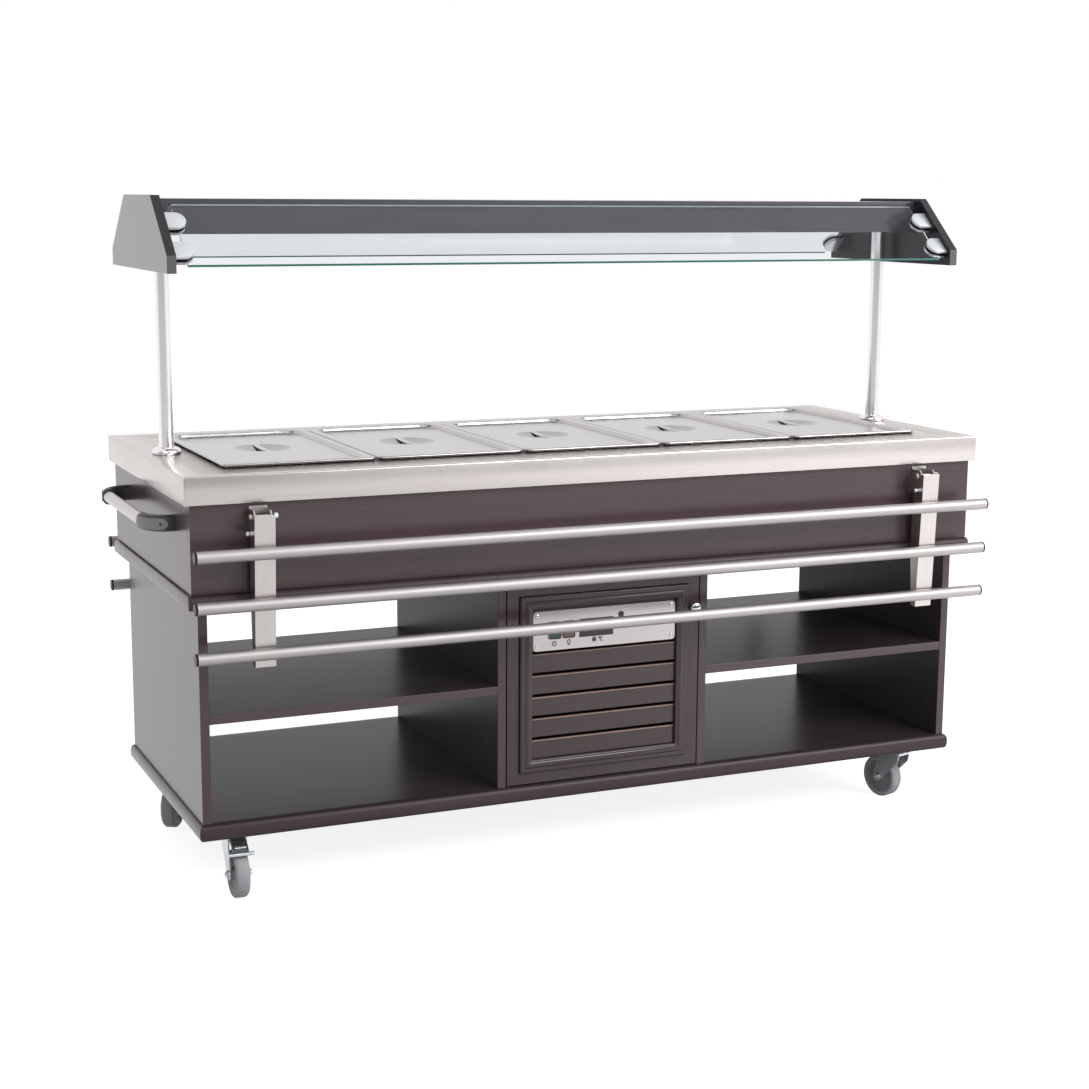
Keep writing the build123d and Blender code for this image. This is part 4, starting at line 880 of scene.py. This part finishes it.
for name, work, finish in (("elbows", elbow_work, dark_plastic), ("covers", cover_work, light_plastic),
                           ("screws", screw_work, rubber)):
    built(f"push_handle_{name}", work, finish, "cabinet", "grey_plastic", ["push_handle"])
bar_half = HANDLE_SOCKET_Y + BAR_TUCK
work = bmesh.new()
lathe(work, [(0, -bar_half), (HANDLE_R, -bar_half), (HANDLE_R, bar_half), (0, bar_half)],
      stand(HANDLE_X, 0, HANDLE_Z, FORWARD))
built("push_handle_bar", work, satin_deep, "cabinet", "stainless", ["push_handle"])

# Tray slide brackets: folded stainless plates on the apron, with the pivot pins through their ears. A
# dome nut closes the right end of each pin.
ARM_X = 776.0
TRAY_PIVOT = (378.0, 806.0)
# Each row is the radius and the distance from the arm's middle
NUT_PROFILE = [(0, 24.0), (7.2, 24.0), (7.2, 29.5), (6.4, 31.8), (4.2, 33.4), (0, 34.0)]
arm_steel = brushed_steel("brushed_stainless_arms", "Z", "#bdb7b6", "#d1cbc9", (0.24, 0.34))
dressed("tray_brackets", "cabinet", "stainless", arm_steel, ease=0.4)
work = bmesh.new()
for x in (-ARM_X, ARM_X):
    for y in (-TRAY_PIVOT[0], TRAY_PIVOT[0]):
        lathe(work, NUT_PROFILE, stand(x, y, TRAY_PIVOT[1], RIGHTWARD), SMALL_STEPS)
built("tray_pivot_nuts", work, chrome, "cabinet", "chrome", ["tray_brackets"])

# Tray slides: folded channel arms with deep side walls, and three satin tubes welded across them. Thin
# black caps with a grey face close the tubes.
TRAY_LEAN = radians(2.7)
TUBE_DROPS = (66.4, 168.4, 270.0)
TUBE_FORWARD = 36.3
TUBE_R = 12.48
TUBE_BORE = 10.98
TUBE_STEPS = 32
TUBE_HALF = 916.6
CAP_HALF = 920.8
CAP_ROUND = 1.0
CAP_BEND = 0.3
CAP_SHINE = 0.2
ARM_SPAN = 60.0
WALL_IN = 18.95
WALL_OUT = 21.05
# Each row is a distance behind the pivot and a height above it, round the rear part of an arm's side wall
WALL_OUTLINE = [(5.2, 5.6), (12.2, 5.6), (12.2, -39.0), (11.0, -160.0), (-6.8, -299.6), (-14.0, -299.6),
                (-14.0, -70.0), (1.0, -44.0), (1.0, -14.0), (5.2, -8.0)]
TUBE_PROFILE = [(TUBE_BORE, -TUBE_HALF), (TUBE_R, -TUBE_HALF), (TUBE_R, TUBE_HALF), (TUBE_BORE, TUBE_HALF)]
CAP_PROFILE = [(0, TUBE_HALF), (TUBE_R, TUBE_HALF), (TUBE_R, CAP_HALF - CAP_ROUND),
               (TUBE_R - CAP_BEND, CAP_HALF - CAP_BEND), (TUBE_R - CAP_ROUND, CAP_HALF), (0, CAP_HALF)]
black_plastic = plain_finish("gloss_black_polycarbonate", "#1b1b1d", "#262628", 0.22, 12)
cap_side = plain_finish("matt_black_cap_side", "#0b0b0c", "#121213", 0.6, 8,
                        further={"Specular IOR Level": CAP_SHINE})
cap_face = plain_finish("grey_cap_face", "#5f5b5b", "#6b6767", 0.5, 8)


def on_arm(back, up, side):
    """The Y and Z of a place on a hanging arm, from its distance behind the pivot and its height above it."""
    y = TRAY_PIVOT[0] - back * cos(TRAY_LEAN) + up * sin(TRAY_LEAN)
    z = TRAY_PIVOT[1] + back * sin(TRAY_LEAN) + up * cos(TRAY_LEAN)
    return side * y, z


def bar(work, ends, section):
    """A straight bar between two ends along the counter, from a section of (Y, Z) points."""
    skin(work, [[at(x, y, z) for y, z in section] for x in ends], close_first=True)


for side, end in ((-1, "front"), (1, "rear")):
    body = f"tray_{end}"
    slide = f"tray_slide_{end}"
    dressed(slide, body, "stainless", arm_steel, ease=0.5, name=f"tray_arms_{end}",
            keep=lambda group: span(group, 0) < ARM_SPAN)
    work = bmesh.new()
    for arm_x in (-ARM_X, ARM_X):
        for wall in (-1, 1):
            bar(work, (arm_x + wall * WALL_IN, arm_x + wall * WALL_OUT),
                [on_arm(back, up, side) for back, up in WALL_OUTLINE])
    built(f"tray_arm_walls_{end}_piece", work, arm_steel, body, "stainless", [slide])
    tube_work = bmesh.new()
    cap_work = bmesh.new()
    for drop in TUBE_DROPS:
        y, z = on_arm(-TUBE_FORWARD, -drop, side)
        lathe(tube_work, TUBE_PROFILE, stand(0, y, z, RIGHTWARD), TUBE_STEPS)
        for turn in (90, -90):
            lathe(cap_work, CAP_PROFILE, stand(0, y, z, (0, turn, 0)), TUBE_STEPS)
    built(f"tray_tubes_{end}_piece", tube_work, satin, body, "stainless", [slide])
    made = built(f"tray_caps_{end}_piece", cap_work, cap_side, body, "black_plastic", [f"tray_caps_{end}"])
    painted(made.data, [(cap_face, is_side)])

# Lock pins: turned chrome pull pins with round knobs, in the arms' guide bushes. They keep the CAD
# nodes' form with eased edges.
for corner in ("front_left", "front_right", "rear_left", "rear_right"):
    dressed(f"lock_pin_{corner}", f"lock_pin_{corner}", "chrome", chrome, ease=0.3)

# Door: a laminate board with a wide moulding glued round the louvre and the control plate, and flat
# slats across the louvre with narrow slots between them. It swings on two steel pins at its left edge.
DOOR_FACE = -320.0
DOOR_HEIGHT = 430.0
MOULD_HALF = 201.5
MOULD_TOP = 589.0
MOULD_BOTTOM = 200.0
# Each row is the distance in from the moulding's outer edge and the height off the door
MOULD_PROFILE = [(0.0, -0.3), (0.0, 3.0), (1.0, 4.6), (2.6, 5.2), (4.2, 4.6), (5.2, 3.0), (5.6, 1.4),
                 (6.6, 1.2), (7.4, 3.0), (9.2, 6.4), (12.0, 9.4), (15.5, 11.2), (18.5, 11.4), (21.5, 10.2),
                 (24.2, 7.6), (26.0, 4.2), (26.6, 2.0), (27.6, 1.6), (29.0, 1.6), (29.0, -0.3)]
WENGE_DOOR = ("#382a2c", "#3d2f31", "#423436")
door_long = laminate("wenge_door_lengthways", "X", WENGE_DOOR, OUTSIDE_GLOSS, shine=0.5)
door_upright = laminate("wenge_door_upright", "Z", WENGE_DOOR, OUTSIDE_GLOSS, shine=0.5)
dressed("door_panel", "door", "laminate", door_upright, BOARD_EASE, name="door_board",
        keep=lambda group: span(group, 2) > DOOR_HEIGHT)
loops = []
for inward, height in MOULD_PROFILE:
    half = MOULD_HALF - inward
    low = MOULD_BOTTOM + inward
    high = MOULD_TOP - inward
    corners = [(-half, low), (half, low), (half, high), (-half, high)]
    loops.append([at(x, DOOR_FACE - height, z) for x, z in corners])
work = bmesh.new()
skin(work, loops + loops[:1], close_last=False)
built("door_moulding", work, door_upright, "door", "laminate", ["door_panel"])
dark_steel = plain_finish("blackened_steel_pin", "#2b2c2e", "#3a3b3d", 0.4, 5, 1.0)
dressed("door_pivots", "cabinet", "zinc", dark_steel, ease=0.2)

row_tree = bpy.data.node_groups.new("row_of_like_pieces", "GeometryNodeTree")
row_inputs = {}
for title, kind in (("Piece", "NodeSocketGeometry"), ("Count", "NodeSocketInt"), ("Step", "NodeSocketVector"),
                    ("Finish", "NodeSocketMaterial")):
    row_inputs[title] = row_tree.interface.new_socket(title, in_out="INPUT", socket_type=kind).identifier
row_tree.interface.new_socket("Row", in_out="OUTPUT", socket_type="NodeSocketGeometry")
row_entry = node(row_tree, "NodeGroupInput").outputs
row_line = node(row_tree, "GeometryNodeMeshLine", {"Count": row_entry["Count"], "Offset": row_entry["Step"]})
row_copies = node(row_tree, "GeometryNodeInstanceOnPoints", {"Points": row_line.outputs["Mesh"],
                                                             "Instance": row_entry["Piece"]})
row_real = node(row_tree, "GeometryNodeRealizeInstances", {"Geometry": row_copies.outputs["Instances"]})
row_coated = node(row_tree, "GeometryNodeSetMaterial", {"Geometry": row_real.outputs["Geometry"],
                                                        "Material": row_entry["Finish"]})
node(row_tree, "NodeGroupOutput", {"Row": row_coated.outputs["Geometry"]})


def row(mesh, count, step_mm):
    """The plain mesh of a row of like pieces. The first is where it was drawn."""
    maker = bpy.data.objects.new(mesh.name, mesh)
    scene.collection.objects.link(maker)
    pattern = maker.modifiers.new("row", "NODES")
    pattern.node_group = row_tree
    pattern[row_inputs["Count"]] = count
    pattern[row_inputs["Step"]] = [part * MM for part in step_mm]
    pattern[row_inputs["Finish"]] = mesh.materials[0]
    made = bpy.data.meshes.new_from_object(maker.evaluated_get(bpy.context.evaluated_depsgraph_get()))
    maker.modifiers.remove(pattern)
    bpy.data.objects.remove(maker)
    return made


SLATS = 5
SLAT_PITCH = 47.5
SLAT_HALF_L = 172.4
# Each row is the depth behind the door's face and the height of one line along a slat, and along the
# strip at its top, which shows the bare board edge with a painted highlight
SLAT_SECTION = [(2.0, 229.0), (13.0, 229.0), (13.0, 269.5), (4.0, 269.5), (2.2, 269.0), (1.0, 267.5),
                (1.0, 230.0)]
EDGE_SECTION = [(0.9, 267.3), (0.9, 267.9), (2.1, 269.2), (4.0, 269.6), (4.0, 267.3)]
# A lighter tone on the slats' top edges: the bare board edge, with a painted highlight where they catch light
# from above
bare_edge_and_highlight = plain_finish("bare_board_edge_painted_highlight", "#7f695f", "#977f73", 0.5, 9)
for name, section, finish, stands_for in (("door_slats_piece", SLAT_SECTION, door_long, ["door_slats"]),
                                          ("door_slat_edges", EDGE_SECTION, bare_edge_and_highlight, ())):
    work = bmesh.new()
    bar(work, (-SLAT_HALF_L, SLAT_HALF_L), [(DOOR_FACE + depth, z) for depth, z in section])
    slats = row(finished(work, name.removesuffix("_piece"), finish), SLATS, (0, 0, SLAT_PITCH))
    placed(name, slats, "door", "laminate", stands_for)

# Control plate: a brushed stainless plate with rounded corners, held by four corner screws. It carries two
# black-framed rocker switches, the dark temperature display, a small round cap and printed signs.
PLATE_FACE = DOOR_FACE - 1.5
PLATE_SPAN = 300.0
plate_steel = brushed_steel("brushed_stainless_plate", "X", "#b2acac", "#c6c0c0", (0.3, 0.4))
dressed("control_plate", "door", "stainless", plate_steel, ease=0.3,
        keep=lambda group: span(group, 0) > PLATE_SPAN)
SWITCHES = (-119.5, -86.5)
SWITCH_Z = 510.0
BEZEL_HALF_W = 15.0
BEZEL_HALF_H = 19.5
BEZEL_ROUND = 5.0
BEZEL_RIM = 2.2
# Each row is the inset and the height off the plate of one line round a switch frame
BEZEL_LEVELS = [(BEZEL_RIM, -1.0), (0.0, 0.0), (0.0, 1.5), (0.5, 2.0), (BEZEL_RIM, 2.0), (BEZEL_RIM, -1.0)]


def on_plate(points, x, z, proud):
    """2-D points in millimetres about a place on the plate, as points of the frame."""
    return [at(x + across, PLATE_FACE - proud, z + up) for across, up in points]


work = bmesh.new()
for x in SWITCHES:
    loops = []
    for inset, proud in BEZEL_LEVELS:
        outline = rounded_loop(BEZEL_HALF_W - inset, BEZEL_HALF_H - inset, BEZEL_ROUND - inset)
        loops.append(on_plate(outline, x, SWITCH_Z, proud))
    skin(work, loops, close_last=False)
built("switch_bezels", work, black_plastic, "door", "black_plastic", ["control_plate"])
dressed("controller", "door", "black_plastic", black_plastic, ease=0.4)
green_lens = plain_finish("green_tinted_lens", "#2c3f40", "#3a5152", 0.3, 6)
amber_lens = plain_finish("amber_tinted_lens", "#5a4a3e", "#7d6a58", 0.3, 6)
dressed("rocker_power", "rocker_power", "green_rocker", green_lens, ease=0.5)
dressed("rocker_lamp", "rocker_lamp", "amber_rocker", amber_lens, ease=0.5)

CAP_X = 38.0
CAP_Z = 533.0
CAP_OUTLINE = [(0, 0.1), (6.5, 0.1), (6.5, 1.6), (5.8, 2.3), (0, 2.5)]
work = bmesh.new()
lathe(work, CAP_OUTLINE, stand(CAP_X, PLATE_FACE, CAP_Z, FORWARD), SMALL_STEPS)
built("plate_round_cap", work, black_plastic, "door", "black_plastic", ["control_plate"])

# Each row is the radius and height of one line round a pan-head screw with a countersunk recess
SCREW_OUTLINE = [(0, 0.4), (1.6, 0.6), (2.0, 1.7), (3.2, 1.6), (4.2, 1.0), (4.5, 0.1), (0, 0.1)]
SCREW_X = -161.0
SCREW_Z = 475.5
SCREWS_APART = (322.0, 0, 0)
SCREWS_UP = (0, 0, 68.5)
work = bmesh.new()
lathe(work, SCREW_OUTLINE, stand(SCREW_X, PLATE_FACE, SCREW_Z, FORWARD), SCREW_STEPS)
screw_steel = plain_finish("stainless_screw", "#bfbbba", "#dcd8d7", 0.2, 2, 1.0)
screws = row(row(finished(work, "plate_screws", screw_steel), 2, SCREWS_APART), 2, SCREWS_UP)
placed("plate_screws", screws, "door", "stainless", ["control_plate"])

SIGN_WIDTH = 2.1
SIGN_PROUD = 0.12
SIGN_STEPS = 20
POWER_SIGN = (-121.0, 481.0)
BULB_SIGN = (-86.5, 481.0)
FROST_SIGN = (-26.0, 482.6)
DEGREE_SIGN = (-10.5, 482.6)
FROST_FIRST = 30
FROST_TURN = 60
FROST_ARM = 5.8
BARB = 2.0
BARB_PLACE = 3.6
sign_ink = plain_finish("black_screen_ink", "#141213", "#1e1b1c", 0.5, 3)


def stroke(work, points, x, z):
    """A printed line on the plate along 2-D points, with square ends."""
    points = [Vector(point) for point in points]
    for first, last in zip(points, points[1:]):
        across = Vector((first.y - last.y, last.x - first.x)).normalized() * SIGN_WIDTH / 2
        corners = [first - across, last - across, last + across, first + across]
        work.faces.new([work.verts.new(point) for point in on_plate(corners, x, z, SIGN_PROUD)])


def spoke(turn, length):
    """A step of some length in a direction in degrees."""
    return Vector((cos(radians(turn)), sin(radians(turn)))) * length


work = bmesh.new()
stroke(work, arc(4.6, 120, 420, SIGN_STEPS), *POWER_SIGN)
stroke(work, [(0, 1.0), (0, 6.4)], *POWER_SIGN)
stroke(work, arc(3.6, -50, 230, SIGN_STEPS, (0, 2.0)), *BULB_SIGN)
stroke(work, [(-2.2, -0.8), (-1.2, -5.0), (1.2, -5.0), (2.2, -0.8)], *BULB_SIGN)
for turn in range(FROST_FIRST, FROST_FIRST + 360, FROST_TURN):
    fork = spoke(turn, BARB_PLACE)
    stroke(work, [(0, 0), spoke(turn, FROST_ARM)], *FROST_SIGN)
    for bend in (-FROST_TURN, FROST_TURN):
        stroke(work, [fork, fork + spoke(turn + bend, BARB)], *FROST_SIGN)
stroke(work, arc(1.3, 0, 360, SIGN_STEPS, (-3.0, 3.2)), *DEGREE_SIGN)
stroke(work, arc(3.9, 50, 310, SIGN_STEPS, (2.8, -0.2)), *DEGREE_SIGN)
built("plate_signs", work, sign_ink, "door", "black_plastic")

# Knob: a small turned chrome knob on the door's free side, with a waist behind its round head. It is
# polished, and mirrors the floor and the room.
KNOB_X = 215.0
KNOB_Z = 536.0
KNOB_PROFILE = [(0, 0.2), (6.6, 0.2), (5.8, 3.0), (5.4, 7.0), (6.2, 9.0), (9.2, 10.8), (11.6, 12.6),
                (12.6, 14.8), (12.2, 17.0), (10.2, 19.0), (6.6, 20.4), (2.8, 21.0), (0, 21.1)]
work = bmesh.new()
lathe(work, KNOB_PROFILE, stand(KNOB_X, DOOR_FACE, KNOB_Z, FORWARD))
built("door_knob_piece", work, chrome, "door", "chrome", ["door_knob"])

# Condensing unit: a black enamelled compressor, a condenser of thin fins in a folded shroud, and a
# moulded fan on the motor's shaft. The condenser and its fins are painted near black, as painted shade
# behind the slots. It is seen through the slots of the door and the back panel.
black_enamel = plain_finish("black_stove_enamel", "#0e0e0f", "#161617", 0.25, 40)
# The condenser and fins are painted near black, as painted shade behind the door's slots
shaded_fins = plain_finish("aluminium_fins_painted_shade", "#141416", "#1d1d20", 0.5, 15)
dressed("compressor", "cabinet", "black_steel", black_enamel, ease=1.0)
dressed("condenser", "cabinet", "fins", shaded_fins, ease=0.5)
dressed("fan_rotor", "fan", "black_plastic", black_plastic, ease=0.4)
FINS = 70
FIN_PITCH = 4.0
FIN_T = 0.8
FIN_FRONT = -267.6
FIN_BACK = -255.0
FIN_FOOT = 185.0
FIN_HEAD = 409.0
fin_first = -FIN_PITCH * (FINS - 1) / 2
work = bmesh.new()
bar(work, (fin_first, fin_first + FIN_T),
    [(FIN_FRONT, FIN_FOOT), (FIN_BACK, FIN_FOOT), (FIN_BACK, FIN_HEAD), (FIN_FRONT, FIN_HEAD)])
fins = row(finished(work, "condenser_fins", shaded_fins), FINS, (FIN_PITCH, 0, 0))
placed("condenser_fins", fins, "cabinet", "fins")

# Castors: pressed and zinc plated forks with grey rubber tyres on grey hubs, bolted under the base. The
# front pair has brake pedals of grey plastic with a bright tread bar, raised tab and side edges.
zinc = plain_finish("bright_zinc_plate", "#cdd0d3", "#e3e5e8", 0.3, 10, 1.0)
tyre_rubber = plain_finish("grey_rubber_tyre", "#99999e", "#a7a7ac", 0.6, 5)
hub_plastic = plain_finish("grey_polypropylene_hub", "#7e7f82", "#8e9092", 0.45, 5)
pedal_plastic = plain_finish("grey_polyamide_pedal", "#4f5558", "#5f6569", 0.4, 6)
dressed("castor_plates", "cabinet", "zinc", zinc, ease=0.5)
# Each castor's place on the base, and its turn in degrees
CASTORS = {"front_left": (-814, -248, -2), "front_right": (814, -248, 195), "rear_left": (-814, 248, -30),
           "rear_right": (814, 248, 150)}
BRAKED = ("front_left", "front_right")
TRAIL = 40.0
WHEEL_R = 50.0
TREAD_BAR_Y = -69.0
# The bright pieces on a pedal: each has its left and right end, and rows of the place along the castor and
# the height of one corner. They are the raised tab and the two folded side edges.
TAB_SECTION = [(-54.0, 117.0), (-65.0, 109.3), (-67.0, 112.2), (-66.2, 113.6), (-57.2, 119.9), (-55.8, 119.9)]
SIDE_SECTION = [(-40.0, 127.0), (-72.0, 104.6), (-72.6, 105.7), (-40.6, 128.2)]
PEDAL_TRIM = [(-12.0, 12.0, TAB_SECTION), (-16.4, -14.0, SIDE_SECTION), (14.0, 16.4, SIDE_SECTION)]
TYRE_PROFILE = [(38.0, -12.0), (40.0, -13.8), (42.5, -14.8), (45.0, -15.0), (46.0, -14.6), (49.5, -11.0),
                (50.0, -10.0), (50.0, 10.0), (49.5, 11.0), (46.0, 14.6), (45.0, 15.0), (42.5, 14.8),
                (40.0, 13.8), (38.0, 12.0)]
HUB_SIDE = [(4.06, 15.0), (11.0, 15.0), (12.0, 14.2), (12.4, 12.6), (15.0, 9.5), (26.0, 8.6), (33.0, 9.6),
            (35.6, 12.4), (37.2, 13.2), (38.6, 12.9), (38.8, 11.8)]
hub_profile = HUB_SIDE + [(radius, -height) for radius, height in reversed(HUB_SIDE)] + HUB_SIDE[:1]
for corner, (x, y, turn) in CASTORS.items():
    dressed(f"castor_fork_{corner}", f"castor_{corner}", "zinc", zinc, ease=0.6)
    hub_x = x + TRAIL * sin(radians(turn))
    hub_y = y - TRAIL * cos(radians(turn))
    wheel_place = stand(hub_x, hub_y, WHEEL_R, (0, 0, turn)) @ Matrix.Rotation(radians(90), 4, "Y")
    for name, profile, finish in (("tyre", TYRE_PROFILE, tyre_rubber), ("hub", hub_profile, hub_plastic)):
        work = bmesh.new()
        lathe(work, profile, wheel_place)
        built(f"castor_{name}_{corner}", work, finish, f"wheel_{corner}", "tyre", [f"castor_wheel_{corner}"])
    if corner in BRAKED:
        pedal = f"brake_pedal_{corner}"
        unturned = Matrix.Rotation(radians(-turn), 3, "Z")
        king = Vector((x, y, 0))
        dressed(pedal, f"pedal_{corner}", "grey_plastic", pedal_plastic, ease=0.5, others=[
            (zinc, lambda face, middle: (unturned @ (middle - king)).y < TREAD_BAR_Y)])
        work = bmesh.new()
        for first, last, section in PEDAL_TRIM:
            skin(work, [[stand(x, y, 0, (0, 0, turn)) @ Vector((across * MM, along * MM, z * MM))
                         for along, z in section] for across in (first, last)], close_first=True)
        built(f"brake_pedal_trim_{corner}", work, zinc, f"pedal_{corner}", "zinc", [pedal])
